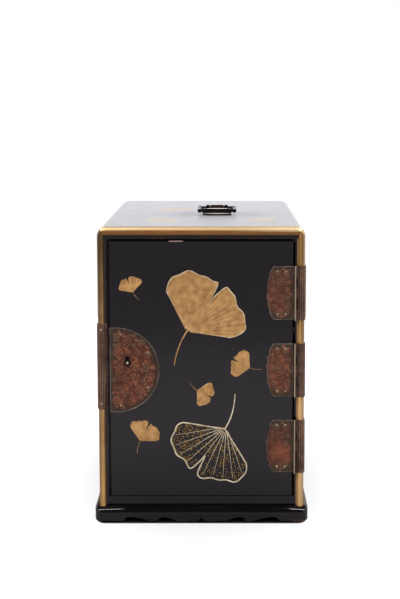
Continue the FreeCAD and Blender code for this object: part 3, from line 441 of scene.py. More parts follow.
def leaf_blade(name, seat, length, phase, thickness, material):
    """A leaf in low relief: fan shaped, notched and wavy, with fine veins that run out from the stalk."""
    points, faces = [], []
    rings = [0.05, *(0.05 + 0.92 * ring / (ray_rings - 2) for ring in range(1, ray_rings - 1)), 1.0]
    for ray in range(rays + 1):
        angle = half_fan * (2 * ray / rays - 1)
        vein = math.cos(vein_count * math.pi * (2 * ray / rays - 1))
        for share in rings:
            reach = share * length * leaf_reach(angle, phase)
            height = thickness * (1 + 0.45 * vein * min(1, 2 * share))
            if ray in (0, rays) or share in (rings[0], rings[-1]):
                height = 0
            points += [(reach * math.sin(angle), reach * math.cos(angle), z) for z in (height, -leaf_sunk)]
    column = 2 * len(rings)
    for ray in range(rays):
        for ring in range(len(rings) - 1):
            for start in (ray * column + 2 * ring, ray * column + 2 * ring + 1):
                faces.append((start, start + 2, start + column + 2, start + column))
    for ring in range(len(rings) - 1):
        for start in (2 * ring, rays * column + 2 * ring):
            faces.append((start, start + 2, start + 3, start + 1))
    for ray in range(rays):
        for start in (ray * column, ray * column + column - 2):
            faces.append((start, start + column, start + column + 1, start + 1))
    blade = solid(name, points, faces, material, crease=60)
    blade.data.transform(seat)
    return blade


def tree_named(name, **kinds):
    """A new Geometry Nodes tree with named inputs, and what they give."""
    tree = bpy.data.node_groups.new(name, "GeometryNodeTree")
    for label, kind in kinds.items():
        tree.interface.new_socket(label.replace("_", " "), in_out="INPUT", socket_type=f"NodeSocket{kind}")
    tree.interface.new_socket("Piece", in_out="OUTPUT", socket_type="NodeSocketGeometry")
    return tree, put(tree, "NodeGroupInput")


def end_tree(tree, piece, finish):
    """End a tree in one plain piece with its finish."""
    piece = put(tree, "GeometryNodeRealizeInstances", {"Geometry": piece})[0]
    piece = put(tree, "GeometryNodeSetMaterial", {"Geometry": piece, "Material": finish})[0]
    put(tree, "NodeGroupOutput", {"Piece": piece})


raised_line, given = tree_named(
    "raised_line", Lines="Geometry", Width="Float", Height="Float", Taper="Float", Finish="Material"
)
run = put(raised_line, "GeometryNodeMeshToCurve", {"Mesh": given["Lines"]})[0]
run = put(raised_line, "GeometryNodeSetCurveNormal", {"Curve": run}, mode="Z_UP")[0]
along = put(raised_line, "GeometryNodeSplineParameter")["Factor"]
loss = put(raised_line, "Math", {0: along, 1: given["Taper"]}, operation="MULTIPLY")[0]
left = put(raised_line, "Math", {0: 1.0, 1: loss}, operation="SUBTRACT")[0]
tall = put(raised_line, "Math", {0: given["Height"], 1: 2.0}, operation="MULTIPLY")[0]
spread = put(raised_line, "CombineXYZ", {"X": given["Width"], "Y": tall, "Z": 1.0})[0]
circle = put(raised_line, "GeometryNodeCurvePrimitiveCircle", {"Resolution": 6, "Radius": 0.5})[0]
section = put(raised_line, "GeometryNodeTransform", {"Geometry": circle, "Scale": spread})[0]
bar = {"Curve": run, "Profile Curve": section, "Scale": left, "Fill Caps": True}
bar = put(raised_line, "GeometryNodeCurveToMesh", bar)[0]
bar = put(raised_line, "GeometryNodeSetShadeSmooth", {"Geometry": bar})[0]
end_tree(raised_line, bar, given["Finish"])


def drawn(name, runs, closed=False):
    """Runs of points on a plane, in millimetres, as a mesh of edges."""
    mesh = bpy.data.meshes.new(name)
    points, edges = [], []
    for run in runs:
        start = len(points)
        points += [(x * mm, y * mm, 0) for x, y in run]
        edges += [(place, place + 1) for place in range(start, len(points) - 1)]
        if closed:
            edges.append((len(points) - 1, start))
    mesh.from_pydata(points, edges, [])
    return mesh


def worked(name, mesh, tree, seat, **sizes):
    """Run a node tree on a mesh, and keep what it makes as a plain mesh in its place."""
    thing = bpy.data.objects.new(name, mesh)
    bpy.context.scene.collection.objects.link(thing)
    modifier = thing.modifiers.new(tree.name, "NODES")
    modifier.node_group = tree
    for item in tree.interface.items_tree:
        if item.in_out == "INPUT" and item.name.replace(" ", "_") in sizes:
            modifier[item.identifier] = sizes[item.name.replace(" ", "_")]
    made = bpy.data.meshes.new_from_object(thing.evaluated_get(bpy.context.evaluated_depsgraph_get()))
    made.name = name
    thing.modifiers.remove(modifier)
    thing.data = made
    made.transform(seat)
    return thing


def raised(name, runs, seat, body, slot, finish, width, height, taper=0.0, closed=False):
    """Lines in relief, drawn on a plane and fixed to a body. Their width and height are in millimetres."""
    sizes = {"Width": width * mm, "Height": height * mm, "Taper": taper, "Finish": finish}
    lines = worked(name, drawn(name, runs, closed), raised_line, seat, **sizes)
    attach(lines, body)


def stalk_run(length, bend):
    """A leaf's stalk, from the blade down to its foot, bent to one side."""
    shares = [step / 16 for step in range(17)]
    return [(bend * length * share ** 2, length * (0.06 - 0.62 * share)) for share in shares]


def leaf_outline(length, phase):
    """The blade's edge, with both straight sides down to the stalk."""
    rim = []
    for ray in range(rays + 1):
        angle = half_fan * (2 * ray / rays - 1)
        reach = 0.99 * length * leaf_reach(angle, phase)
        rim.append((reach * math.sin(angle), reach * math.cos(angle)))
    return rim + [(0.012 * length, 0.05 * length), (-0.012 * length, 0.05 * length)]


def leaf_veins(length, phase):
    """The main veins of an outlined leaf."""
    veins = []
    for count in range(1, vein_count, 2):
        angle = half_fan * 0.93 * (2 * count / vein_count - 1)
        reach = length * leaf_reach(angle, phase)
        stations = [share * reach for share in (0.1, 0.5, 0.93)]
        veins.append([(far * math.sin(angle), far * math.cos(angle)) for far in stations])
    return veins


design_gold = gilding("gold_powder_design", varnish=0.6, metal=0.6, tones=("#b07f48", "#e0ab6b"))[0]
pale_gold = gilding("pale_gold_powder", varnish=0.4, metal=0.5, tones=("#cdbb97", "#f2e6c8"))[0]
leaf_ground, ground_shader, ground_spot = black_lacquer("sprinkled_black_lacquer", dull=0.3, bright=0.2)
sprinkle(ground_shader, ground_spot)


def gold_leaf(name, plane, body, place, length, phase, bend, relief=0.26, finish=design_gold):
    """One leaf with its stalk in full gold."""
    seat = leaf_seat(plane, *place)
    blade = leaf_blade(name, seat, length, phase, relief, finish)
    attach(blade, body)
    stalk = [stalk_run(length, bend)]
    raised(f"{name}_stalk", stalk, seat, body, "gilt_lacquer", finish, 0.028 * length, relief, taper=0.45)


large_place, large_leaf = (-20, 264, 36), (84, 0.6)
gold_leaf("door_leaf_large", standing, "door", large_place, *large_leaf, 0.16)
gold_leaf("door_leaf_small_1", standing, "door", (66, 214, -64), 27, 1.9, 0.2)
gold_leaf("door_leaf_small_2", standing, "door", (-84, 112, 28), 30, 3.1, 0.15)
gold_leaf("door_leaf_small_3", standing, "door", (-6, 183, 118), 24, 4.4, -0.2)
gold_leaf("door_leaf_small_4", standing, "door", (-92, 318, -20), 22, 5.2, 0.2)
outlined_place, outlined_leaf = (34, 132, -146), (80, 2.4)
large_seat, outlined_seat = leaf_seat(standing, *large_place), leaf_seat(standing, *outlined_place)
ground = leaf_blade("door_leaf_outlined_ground", outlined_seat, *outlined_leaf, 0.08, leaf_ground)
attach(ground, "door")
for label, runs, seat, width, taper, closed in (
    ("large_edge", [leaf_outline(*large_leaf)], large_seat, 1.1, 0.0, True),
    ("outline", [leaf_outline(*outlined_leaf)], outlined_seat, 2.1, 0.0, True),
    ("veins", leaf_veins(*outlined_leaf), outlined_seat, 1.1, 0.5, False),
    ("outlined_stalk", [stalk_run(outlined_leaf[0], 0.2)], outlined_seat, 2.4, 0.45, False),
):
    raised(f"door_leaf_{label}", runs, seat, "door", "gilt_lacquer", pale_gold, width, 0.3, taper, closed)

# The leaves on the top and the two sides: fewer of the same kind, in gold powder. Those on the top are
# rubbed down flush under clear lacquer, so that at a flat angle they hardly show.
flush_gold = gilding("flush_gold_on_top", varnish=0.5, burnish=0.3, tones=("#b39673", "#d0b592"))[0]
flush = {"relief": 0.03, "finish": flush_gold}
lying = Matrix.Translation((0, 0, carcass_top * mm))
facing_right = Matrix(((0, 0, 1, half_width * mm), (1, 0, 0, 0), (0, 1, 0, 0), (0, 0, 0, 1)))
facing_left = Matrix(((0, 0, -1, -half_width * mm), (-1, 0, 0, 0), (0, 1, 0, 0), (0, 0, 0, 1)))
gold_leaf("top_leaf_1", lying, "carcass", (-76, -112, 62), 44, 0.9, 0.2, **flush)
gold_leaf("top_leaf_2", lying, "carcass", (96, -118, -38), 40, 2.2, -0.2, **flush)
gold_leaf("top_leaf_3", lying, "carcass", (-58, 62, 150), 46, 3.6, 0.15, **flush)
gold_leaf("right_leaf_1", facing_right, "carcass", (-40, 250, 42), 62, 1.2, -0.2)
gold_leaf("right_leaf_2", facing_right, "carcass", (62, 150, -150), 44, 4.0, 0.2)
gold_leaf("right_leaf_3", facing_right, "carcass", (-90, 128, 100), 30, 2.7, 0.15)
gold_leaf("left_leaf_1", facing_left, "carcass", (48, 262, -40), 58, 5.0, 0.2)
gold_leaf("left_leaf_2", facing_left, "carcass", (-48, 168, 128), 46, 0.3, -0.2)
gold_leaf("left_leaf_3", facing_left, "carcass", (80, 112, -110), 30, 3.3, 0.15)

# The lock plate: a round of sheet copper, cut off at the door's edge and nailed on. It has a raised rim and
# chased foliage, and its red-brown patina is rubbed bright on the high lines and goes olive at the border.
lock_x, lock_z, lock_radius = -115.5, 211.45, 59
door_edge, plate_sheet = -124.3, 1.2


def patinated_copper(name, low, high, ground):
    """Copper darkened by patina: clouds of two tones, dull in the hollows, finely pitted by the tools."""
    material, shader, spot = finish_named(name, Metallic=0.7, Roughness=0.46)
    tree = shader.id_data
    punch_width = 1.5 * mm
    clouded(shader, spot, width=14, detail=5.0, tones=(low, high), spread=(0.33, 0.68))
    tooling = put(tree, "TexVoronoi", {"Vector": spot, "Scale": 1 / punch_width})["Distance"]
    pits = put(tree, "MapRange", {"Value": tooling, "From Min": 0.5, "From Max": 0.1})[0]
    lay_over(shader, pits, {"Base Color": linear(ground)})
    bump = put(tree, "Bump", {"Height": tooling, "Strength": 0.5, "Distance": 0.25 * mm})
    feed(shader, {"Normal": bump[0]})
    return material, shader, spot


plate_copper, plate_shader, plate_spot = patinated_copper(
    "chased_copper_lock_plate", "#55322a", "#7c4535", "#24140f"
)
plate_tree = plate_copper.node_tree
plate_middle = (lock_x, door_face - plate_sheet, lock_z)
tone_round(plate_shader, plate_spot, plate_middle, bare=48, full=57, tone="#3f352c")
plate_x = put(plate_tree, "SeparateXYZ", {"Vector": plate_spot})["X"]
edge_width, edge_drift = 18 * mm, 30 * mm
edge_cloud = {"Vector": plate_spot, "Scale": 1 / edge_width, "Detail": 3.0}
edge_cloud = put(plate_tree, "TexNoise", edge_cloud)["Fac"]
drifted = {0: edge_cloud, 1: edge_drift, 2: plate_x}
drifted = put(plate_tree, "Math", drifted, operation="MULTIPLY_ADD")[0]
tone_band(plate_shader, drifted, bare=-100, full=-110, tone="#454036")
dress(plate_copper, "lock_plate")
rubbed_copper, rubbed_shader, rubbed_spot = patinated_copper(
    "rubbed_copper_lines", "#6e4635", "#b67353", "#4e2f23"
)
dust_width = 11 * mm
dust = {"Vector": rubbed_spot, "Scale": 1 / dust_width, "Detail": 4.0}
dust = put(rubbed_copper.node_tree, "TexNoise", dust)["Fac"]
dusty = {"Value": dust, "From Min": 0.47, "From Max": 0.6, "To Max": 0.8}
dusty = put(rubbed_copper.node_tree, "MapRange", dusty)[0]
lay_over(rubbed_shader, dusty, {"Base Color": linear("#6b5d4a")})
rim_copper = patinated_copper("rubbed_copper_rim", "#554a44", "#97897f", "#463c36")[0]

foliage, given = tree_named(
    "chased_foliage",
    Lines="Geometry",
    Width="Float",
    Height="Float",
    Taper="Float",
    Leaf_Spacing="Float",
    Leaf_Length="Float",
    Finish="Material",
)
stem_inputs = {label: given[label] for label in ("Lines", "Width", "Height", "Taper", "Finish")}
stems = put(foliage, "GeometryNodeGroup", stem_inputs, node_tree=raised_line)[0]
vines = put(foliage, "GeometryNodeMeshToCurve", {"Mesh": given["Lines"]})[0]
buds = {"Curve": vines, "Length": given["Leaf Spacing"]}
buds = put(foliage, "GeometryNodeCurveToPoints", buds, mode="LENGTH")
ahead = {"Vector": buds["Tangent"]}
ahead = put(foliage, "FunctionNodeAlignRotationToVector", ahead, axis="X", pivot_axis="Z")[0]
order = put(foliage, "GeometryNodeInputIndex")[0]
parity = put(foliage, "Math", {0: order, 1: 2.0}, operation="MODULO")[0]
lean_angle = math.radians(48)
lean = put(foliage, "MapRange", {"Value": parity, "To Min": lean_angle, "To Max": -lean_angle})[0]
leaning = {"Rotation": ahead, "Rotate By": put(foliage, "CombineXYZ", {"Z": lean})[0]}
leaning = put(foliage, "FunctionNodeRotateRotation", leaning, rotation_space="LOCAL")[0]
leaflet = put(foliage, "GeometryNodeMeshUVSphere", {"Segments": 6, "Rings": 4, "Radius": 0.5})[0]
broad = put(foliage, "Math", {0: given["Leaf Length"], 1: 0.46}, operation="MULTIPLY")[0]
plump = put(foliage, "Math", {0: given["Height"], 1: 2.2}, operation="MULTIPLY")[0]
form = put(foliage, "CombineXYZ", {"X": given["Leaf Length"], "Y": broad, "Z": plump})[0]
sprig = put(foliage, "GeometryNodeTransform", {"Geometry": leaflet, "Scale": form})[0]
sprigs = {"Points": buds["Points"], "Instance": sprig, "Rotation": leaning}
sprigs = put(foliage, "GeometryNodeInstanceOnPoints", sprigs)[0]
step_out = put(foliage, "Math", {0: given["Leaf Length"], 1: 0.5}, operation="MULTIPLY")[0]
step_out = put(foliage, "CombineXYZ", {"X": step_out})[0]
sprigs = {"Instances": sprigs, "Translation": step_out, "Local Space": True}
sprigs = put(foliage, "GeometryNodeTranslateInstances", sprigs)[0]
grown = put(foliage, "GeometryNodeJoinGeometry", {0: stems})[0]
feed(grown.node, {0: sprigs})
grown = put(foliage, "GeometryNodeSetShadeSmooth", {"Geometry": grown})[0]
end_tree(foliage, grown, given["Finish"])
scroll_sizes = (7.5, 5.5, 4.2, 3.2, 2.4)


def scroll(x, y, radius, start, hand):
    """A foliage scroll: a stem that winds inwards from its start to a bud."""
    turns, steps = 1 + radius / 9, 20 + 3 * int(radius)
    run = []
    for step in range(steps + 1):
        share = step / steps
        reach = radius * (1 - 0.86 * share ** 0.8)
        angle = math.radians(start) + hand * 2 * math.pi * turns * share
        run.append((x + reach * math.cos(angle), y + reach * math.sin(angle)))
    return run


def scroll_bed(low, high, fits, *more):
    """Scrolls of falling size that fill a bed from a low corner to a high one, and turn both ways."""
    tries, pace_x, pace_z, packing, turn_step = 420, 0.7549, 0.5698, 0.94, 137
    bed = []
    for radius in scroll_sizes:
        for count in range(1, tries):
            x = low[0] + (high[0] - low[0]) * (count * pace_x % 1)
            z = low[1] + (high[1] - low[1]) * (count * pace_z % 1)
            apart = all(math.hypot(x - a, z - b) > packing * (radius + other) for a, b, other in bed)
            if apart and fits(x, z, radius, *more):
                bed.append((x, z, radius))
    return [scroll(*place, turn_step * turn, 1 if turn % 2 else -1) for turn, place in enumerate(bed)]


def chased(name, bed, seat, width, height, spacing, length):
    """Chased foliage on a plate of the door: its lines' width and height and its leaves, in millimetres."""
    sizes = {"Width": width * mm, "Height": height * mm, "Taper": 0.4, "Finish": rubbed_copper}
    leaves = {"Leaf_Spacing": spacing * mm, "Leaf_Length": length * mm}
    chasing = worked(name, drawn(name, bed), foliage, seat, **sizes, **leaves)
    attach(chasing, "door")


plate_plane = Matrix.Translation((0, -plate_sheet * mm, 0)) @ standing
key_x, key_z, key_bore, key_neck, key_mouth, key_slot = -100.3, 221.15, 3.8, 1.7, 3.2, 8.4
rim_margin, edge_margin, key_margin = 3, 2.4, 6.6


def on_plate(x, z, radius):
    """Whether a scroll lies inside the plate's rim and clear of the keyhole."""
    in_round = math.hypot(x - lock_x, z - lock_z) < lock_radius - rim_margin - radius
    off_key = math.hypot(x - key_x, z - key_z - key_slot / 3) > radius + key_margin
    return in_round and off_key and x - radius > door_edge + edge_margin


plate_low, plate_high = (door_edge, lock_z - lock_radius), (lock_x + lock_radius, lock_z + lock_radius)
bed = scroll_bed(plate_low, plate_high, on_plate)
chased("lock_plate_chasing", bed, plate_plane, width=1.2, height=0.45, spacing=2.3, length=2.7)
rim_inset, rim_steps = 0.9, 96
rim_radius = lock_radius - rim_inset
rim_turn = math.acos((door_edge + rim_inset - lock_x) / rim_radius)
turns = [rim_turn * (2 * step / rim_steps - 1) for step in range(rim_steps + 1)]
rim_run = [(lock_x + rim_radius * math.cos(turn), lock_z + rim_radius * math.sin(turn)) for turn in turns]
door_rim = {"body": "door", "slot": "patinated_copper", "closed": True}
raised("lock_plate_rim", [rim_run], plate_plane, finish=rim_copper, width=1.4, height=0.7, **door_rim)

# The keyhole's edge and the lock's irons: a raised line of blackened copper is soldered round the opening,
# with the bright post inside it. The case, its works and the keeper are filed from iron and screwed in.
edge_room, bore_steps = 0.5, 24
black_copper = patinated_copper("blackened_copper", "#15100e", "#2a1d18", "#0c0908")[0]
keyhole_run = []
bore_reach = key_bore + edge_room
neck_turn = math.asin((key_neck + edge_room) / bore_reach)
for step in range(bore_steps + 1):
    turn = math.pi / 2 + neck_turn + (2 * math.pi - 2 * neck_turn) * step / bore_steps
    keyhole_run.append((key_x + bore_reach * math.cos(turn), key_z + bore_reach * math.sin(turn)))
neck, mouth = (key_neck + edge_room, key_slot / 2), (key_mouth + edge_room, key_slot + edge_room)
for sign, (x, z) in ((1, neck), (1, mouth), (-1, mouth), (-1, neck)):
    keyhole_run.append((key_x + sign * x, key_z + z))
raised("keyhole_edge", [keyhole_run], plate_plane, finish=black_copper, width=0.9, height=0.45, **door_rim)


def filed_metal(name, low, high, roughness):
    """Iron, brass or bronze worked with the file and oiled: clouds of two tones, and fine file marks."""
    material, shader, spot = finish_named(name, Metallic=0.9, Roughness=roughness)
    clouded(shader, spot, width=4, detail=5.0, tones=(low, high))
    filed = put(material.node_tree, "Mapping", {"Vector": spot, "Scale": (0.15, 1.0, 1.0)})[0]
    uneven(shader, filed, width=0.7, detail=2.0, strength=0.25, depth=0.1)
    return material, shader, spot


bright_iron = filed_metal("bright_iron", "#a8a49d", "#d9d5cc", 0.25)[0]
dark_iron = filed_metal("oiled_iron", "#3a3632", "#6d675f", 0.42)[0]
dress(bright_iron, "key_post", "lock_bolt", "bolt_keeper")
dress(dark_iron, "lock_case", "lock_cover", "lock_screws", "bolt_spring")

# The strike plate on the left bead and the hinges' frame leaves on the right one: sheet copper bent round
# the moulding and reeded along its length, nailed to the side of the carcass.
reeded_copper, reeded_shader, reeded_spot = patinated_copper(
    "reeded_copper", "#47312a", "#694a40", "#2a1c17"
)
reed_copper = patinated_copper("rubbed_copper_reeds", "#65503f", "#977866", "#483529")[0]
hinge_levels = {"upper": 317.45, "middle": 211.45, "lower": 105.45}
hinge_height = 73.8
strike_low, strike_high = 157.65, 275.25
wrap_x, wrap_y, wrap_radius = 135.5, -170.48, 5.52
reed_radius, reed_sunk, reed_ends = 0.75, 0.25, 0.6
dress(reeded_copper, "strike_plate", *(f"{place}_hinge_frame_leaf" for place in hinge_levels))

reeding, given = tree_named("reeding", Seats="Geometry", Radius="Float", Length="Float", Finish="Material")
reed = {"Vertices": 10, "Side Segments": 1, "Radius": given["Radius"], "Depth": given["Length"]}
reed = put(reeding, "GeometryNodeMeshCylinder", reed)[0]
seats = put(reeding, "GeometryNodeMeshToPoints", {"Mesh": given["Seats"]})[0]
reeds = put(reeding, "GeometryNodeInstanceOnPoints", {"Points": seats, "Instance": reed})[0]
end_tree(reeding, reeds, given["Finish"])


def reed_seats(sign, middle, turns):
    """Where the reeds stand round the bead, at angles from its front towards the outer side."""
    seats = []
    for degrees in turns:
        turn = math.radians(degrees)
        x = sign * (wrap_x + (wrap_radius - reed_sunk) * math.sin(turn))
        seats.append((x, wrap_y - (wrap_radius - reed_sunk) * math.cos(turn), middle))
    return seats


def at_points(name, spots):
    """Loose points in millimetres as a mesh."""
    mesh = bpy.data.meshes.new(name)
    mesh.from_pydata([(x * mm, y * mm, z * mm) for x, y, z in spots], [], [])
    return mesh


strike_seats = reed_seats(-1, (strike_low + strike_high) / 2, (-76, -46, -16, 14, 44, 74))
reeded = {"strike_plate": (strike_seats, strike_high - strike_low)}
for place, level in hinge_levels.items():
    reeded[f"{place}_hinge"] = (reed_seats(1, level, (-50, -20, 10, 40, 70)), hinge_height)
for label, (seats, length) in reeded.items():
    name = f"{label}_reeds"
    sizes = {"Radius": reed_radius * mm, "Length": (length - reed_ends) * mm, "Finish": reed_copper}
    reeds = worked(name, at_points(name, seats), reeding, Matrix(), **sizes)
    reeds.data.polygons.foreach_set("use_smooth", [True] * len(reeds.data.polygons))
    reeds.data.set_sharp_from_angle(angle=math.radians(50))
    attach(reeds, "carcass")

# The hinges' door leaves: sheet copper with a lobed edge, a raised rim, a chased centre and a plain olive
# border, nailed to the door's face. Each turns on a brass pin through its barrel.
pin_x, hinge_reach, hinge_corner, hinge_shoulder = 127.7, 39.5, 9.4, 3
hinge_bulge, lobe_rise, lobes, hinge_sheet = 6.2, 1.2, 6, 1.0
barrel_radius, barrel_gap, barrel_start, half_pitch = 2.3, 0.5, 125, 53
hinge_copper, hinge_shader, hinge_spot = patinated_copper(
    "chased_copper_hinges", "#5d392d", "#7f4b39", "#2b1a13"
)
hinge_tree = hinge_copper.node_tree
hinge_axes = put(hinge_tree, "SeparateXYZ", {"Vector": hinge_spot})
mid_level = hinge_levels["middle"]
local_z = {0: hinge_axes["Z"], 1: (mid_level + half_pitch) * mm, 2: (mid_level - half_pitch) * mm}
local_z = put(hinge_tree, "Math", local_z, operation="WRAP")[0]
off_level = put(hinge_tree, "Math", {0: local_z, 1: mid_level * mm}, operation="SUBTRACT")[0]
off_level = put(hinge_tree, "Math", {0: off_level}, operation="ABSOLUTE")[0]
end_border = {"Value": off_level, "From Min": 21 * mm, "From Max": 33 * mm}
end_border = put(hinge_tree, "MapRange", end_border)[0]
pin_border = {"Value": hinge_axes["X"], "From Min": 112 * mm, "From Max": 121 * mm, "To Max": 0.75}
pin_border = put(hinge_tree, "MapRange", pin_border)[0]
olive = put(hinge_tree, "Math", {0: end_border, 1: pin_border}, operation="MAXIMUM")[0]
lay_over(hinge_shader, olive, {"Base Color": linear("#483c32")})
on_barrel = where((hinge_axes["X"], "GREATER_THAN", barrel_start))
lay_over(hinge_shader, on_barrel, {"Base Color": linear("#33261f")})
barrel_painted_highlight, touched = (126.7, -177, 0), (110, door_face - hinge_sheet, 97)
# A painted highlight: a thin pale vertical line down the front of the hinge barrels, on the door leaves and
# frame leaves, stands in for the light on the barrels' round.
for shader, spot in ((hinge_shader, hinge_spot), (reeded_shader, reeded_spot)):
    in_plan = put(shader.id_data, "VectorMath", {0: spot, 1: (1.0, 1.0, 0.0)}, operation="MULTIPLY")[0]
    tone_round(shader, in_plan, barrel_painted_highlight, bare=0.95, full=0.6, tone="#b9a992", Roughness=0.34)
for shader, spot in ((hinge_shader, hinge_spot), (rubbed_shader, rubbed_spot)):
    tone_round(shader, spot, touched, bare=17, full=2, tone="#b5654a", share=0.42)
dress(hinge_copper, *(f"{place}_hinge_door_leaf" for place in hinge_levels))
hinge_plane = Matrix.Translation((0, -hinge_sheet * mm, 0)) @ standing
hinge_left, hinge_right = pin_x - hinge_reach, pin_x - barrel_radius - barrel_gap


def hinge_edge(middle, inset):
    """The leaf's outline, drawn in by an inset: straight at the barrel, shouldered, and lobed opposite."""
    low, high = middle - hinge_height / 2 + inset, middle + hinge_height / 2 - inset
    right = hinge_right - inset
    corner = hinge_left + hinge_corner + 0.4 * inset
    run = [(corner, low), (right, low), (right, high), (corner, high)]
    lobe_x = hinge_left + lobe_rise + hinge_bulge + inset
    pitch = (hinge_height - 2 * hinge_shoulder - 1.2 * inset) / lobes
    top = high - hinge_shoulder + 0.4 * inset
    steps = 8
    for step in range(lobes * steps + 1):
        share = step / (lobes * steps)
        offset = 2 * share - 1
        lobe = lobe_rise * abs(math.sin(math.pi * step / steps))
        run.append((lobe_x - hinge_bulge * (1 - offset ** 2) - lobe, top - share * lobes * pitch))
    return run


scroll_right, hinge_margin, barrel_margin = hinge_right - 0.7, 2, 1.6


def on_hinge(x, z, radius, middle):
    """Whether a scroll lies inside the rim of the leaf at a level."""
    offset = (z - middle) / (hinge_height / 2 - hinge_shoulder)
    free_edge = hinge_left + lobe_rise + hinge_bulge * offset ** 2
    in_height = abs(z - middle) < hinge_height / 2 - hinge_margin - radius
    return free_edge + hinge_margin + radius < x < scroll_right - barrel_margin - radius and in_height


for place, level in hinge_levels.items():
    hinge_low, hinge_high = (hinge_left, level - hinge_height / 2), (scroll_right, level + hinge_height / 2)
    bed = scroll_bed(hinge_low, hinge_high, on_hinge, level)
    chased(f"{place}_hinge_chasing", bed, hinge_plane, width=1.1, height=0.4, spacing=2.2, length=2.5)
    rim = [hinge_edge(level, 0.8)]
    raised(f"{place}_hinge_rim", rim, hinge_plane, finish=rim_copper, width=1.2, height=0.7, **door_rim)
pin_brass = filed_metal("dull_brass_pins", "#5a4b34", "#8a7450", 0.4)[0]
dress(pin_brass, *(f"{place}_hinge_pin" for place in hinge_levels))

# The nails: short brass nails with domed heads, which hold the copper plates. They are driven through the
# plates into the wood, and their heads are rubbed bright.
nail_brass = filed_metal("bright_brass_nails", "#93886f", "#d3c8b0", 0.34)[0]
dress(nail_brass, "door_leaf_nails", "lock_plate_nails", "frame_leaf_nails", "strike_nails")

# The handle on the top: a bronze bail that turns in two split pins, each through a petalled rosette. The
# pins' legs are bent flat under the top board. The bronze is nearly black. The grip's top is painted pale,
# for wear and as a painted highlight, and its lower edge carries a painted glint, strongest where it is
# held;
# below that glint the grip is painted dark brown as shade. The swelling of the back bar is brown.
grip_edge, edge_half, grip_top, grip_back = 411.15, 0.55, 417.9, -20
handle_offset, swell_reach = 21, 4
bronze_tones = ("#141110", "#2c2622", 0.26)
dark_bronze = filed_metal("dark_bronze", *bronze_tones)[0]
dress(dark_bronze, "left_eye_pin", "right_eye_pin", "left_rosette", "right_rosette")
bail_bronze, bail_shader, bail_spot = filed_metal("worn_bronze_bail", *bronze_tones)
bail_tree = bail_bronze.node_tree
bail_axes = put(bail_tree, "SeparateXYZ", {"Vector": bail_spot})
on_grip = (bail_axes["Y"], "LESS_THAN", grip_back)
off_middle = {0: bail_axes["X"], 1: handle_offset * mm}
off_middle = put(bail_tree, "Math", off_middle, operation="SUBTRACT")[0]
off_middle = put(bail_tree, "Math", {0: off_middle}, operation="ABSOLUTE")[0]
held = {"Value": off_middle, "From Min": 19 * mm, "From Max": 7 * mm, "To Min": 0.3}
held = put(bail_tree, "MapRange", held)[0]
low_painted_glint = where(
    (bail_axes["Z"], "GREATER_THAN", grip_edge - edge_half),
    (bail_axes["Z"], "LESS_THAN", grip_edge + edge_half),
    on_grip,
)
low_painted_glint = put(bail_tree, "Math", {0: low_painted_glint, 1: held}, operation="MULTIPLY")[0]
high_worn_and_painted_highlight = where((bail_axes["Z"], "GREATER_THAN", grip_top), on_grip)
worn_and_glinting_edges = put(bail_tree, "Math", {0: low_painted_glint, 1: high_worn_and_painted_highlight}, operation="ADD")[0]
under_grip_painted_shade = where((bail_axes["Z"], "LESS_THAN", grip_edge), on_grip)
on_swell = where((bail_axes["Y"], "GREATER_THAN", -swell_reach))
# Painted light: a pale glint along the grip's lower edge, and a pale top that is partly wear and partly a
# painted highlight; the grip's face below the glint is painted dark brown as shade.
for mask, tone, metal, roughness in (
    (under_grip_painted_shade, "#1e1009", 0.0, 0.6),
    (worn_and_glinting_edges, "#e9e3da", 0.15, 0.3),
    (on_swell, "#33201a", 0.5, 0.42),
):
    lay_over(bail_shader, mask, {"Base Color": linear(tone), "Metallic": metal, "Roughness": roughness})
dress(bail_bronze, "bail_handle")

petal_ring, given = tree_named(
    "petal_ring", Middle="Geometry", Radius="Float", Petals="Int", Finish="Material"
)
ring = {"Resolution": given["Petals"], "Radius": given["Radius"]}
ring = put(petal_ring, "GeometryNodeCurvePrimitiveCircle", ring)[0]
seats = put(petal_ring, "GeometryNodeCurveToPoints", {"Curve": ring}, mode="EVALUATED")
aside = {"Vector": seats["Tangent"]}
aside = put(petal_ring, "FunctionNodeAlignRotationToVector", aside, axis="Y", pivot_axis="Z")[0]
petal = {"Segments": 10, "Rings": 6, "Radius": given["Radius"]}
petal = put(petal_ring, "GeometryNodeMeshUVSphere", petal)[0]
petal = put(petal_ring, "GeometryNodeTransform", {"Geometry": petal, "Scale": (0.5, 0.25, 0.16)})[0]
petals = {"Points": seats["Points"], "Instance": petal, "Rotation": aside}
petals = put(petal_ring, "GeometryNodeInstanceOnPoints", petals)[0]
petals = put(petal_ring, "GeometryNodeSetShadeSmooth", {"Geometry": petals})[0]
end_tree(petal_ring, petals, given["Finish"])
rosette_face, petal_sunk, petal_circle, petal_count = 409.8, 0.3, 5, 12
for side, x in (("left", 7.5), ("right", 34.5)):
    name = f"{side}_rosette_petals"
    seat = Matrix.Translation((x * mm, 0, (rosette_face - petal_sunk) * mm))
    sizes = {"Radius": petal_circle * mm, "Petals": petal_count, "Finish": dark_bronze}
    petals = worked(name, at_points(name, [(0, 0, 0)]), petal_ring, seat, **sizes)
    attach(petals, "carcass")

# The floor: a round of white paper laid on the table, which isn't part of the cabinet. It is matt and keeps
# the shadow. Right under the base it is painted dark, as a painted contact shadow; near the cabinet its tone
# is painted darker as painted shade; further out it fades to plain white.
floor_radius, floor_sides = 1.2, 96
turns = [2 * math.pi * side / floor_sides for side in range(floor_sides)]
floor_mesh = bpy.data.meshes.new("floor")
rim = [(floor_radius * math.cos(turn), floor_radius * math.sin(turn), 0) for turn in turns]
floor_mesh.from_pydata(rim, [], [range(floor_sides)])
floor = bpy.data.objects.new("floor", floor_mesh)
bpy.context.scene.collection.objects.link(floor)
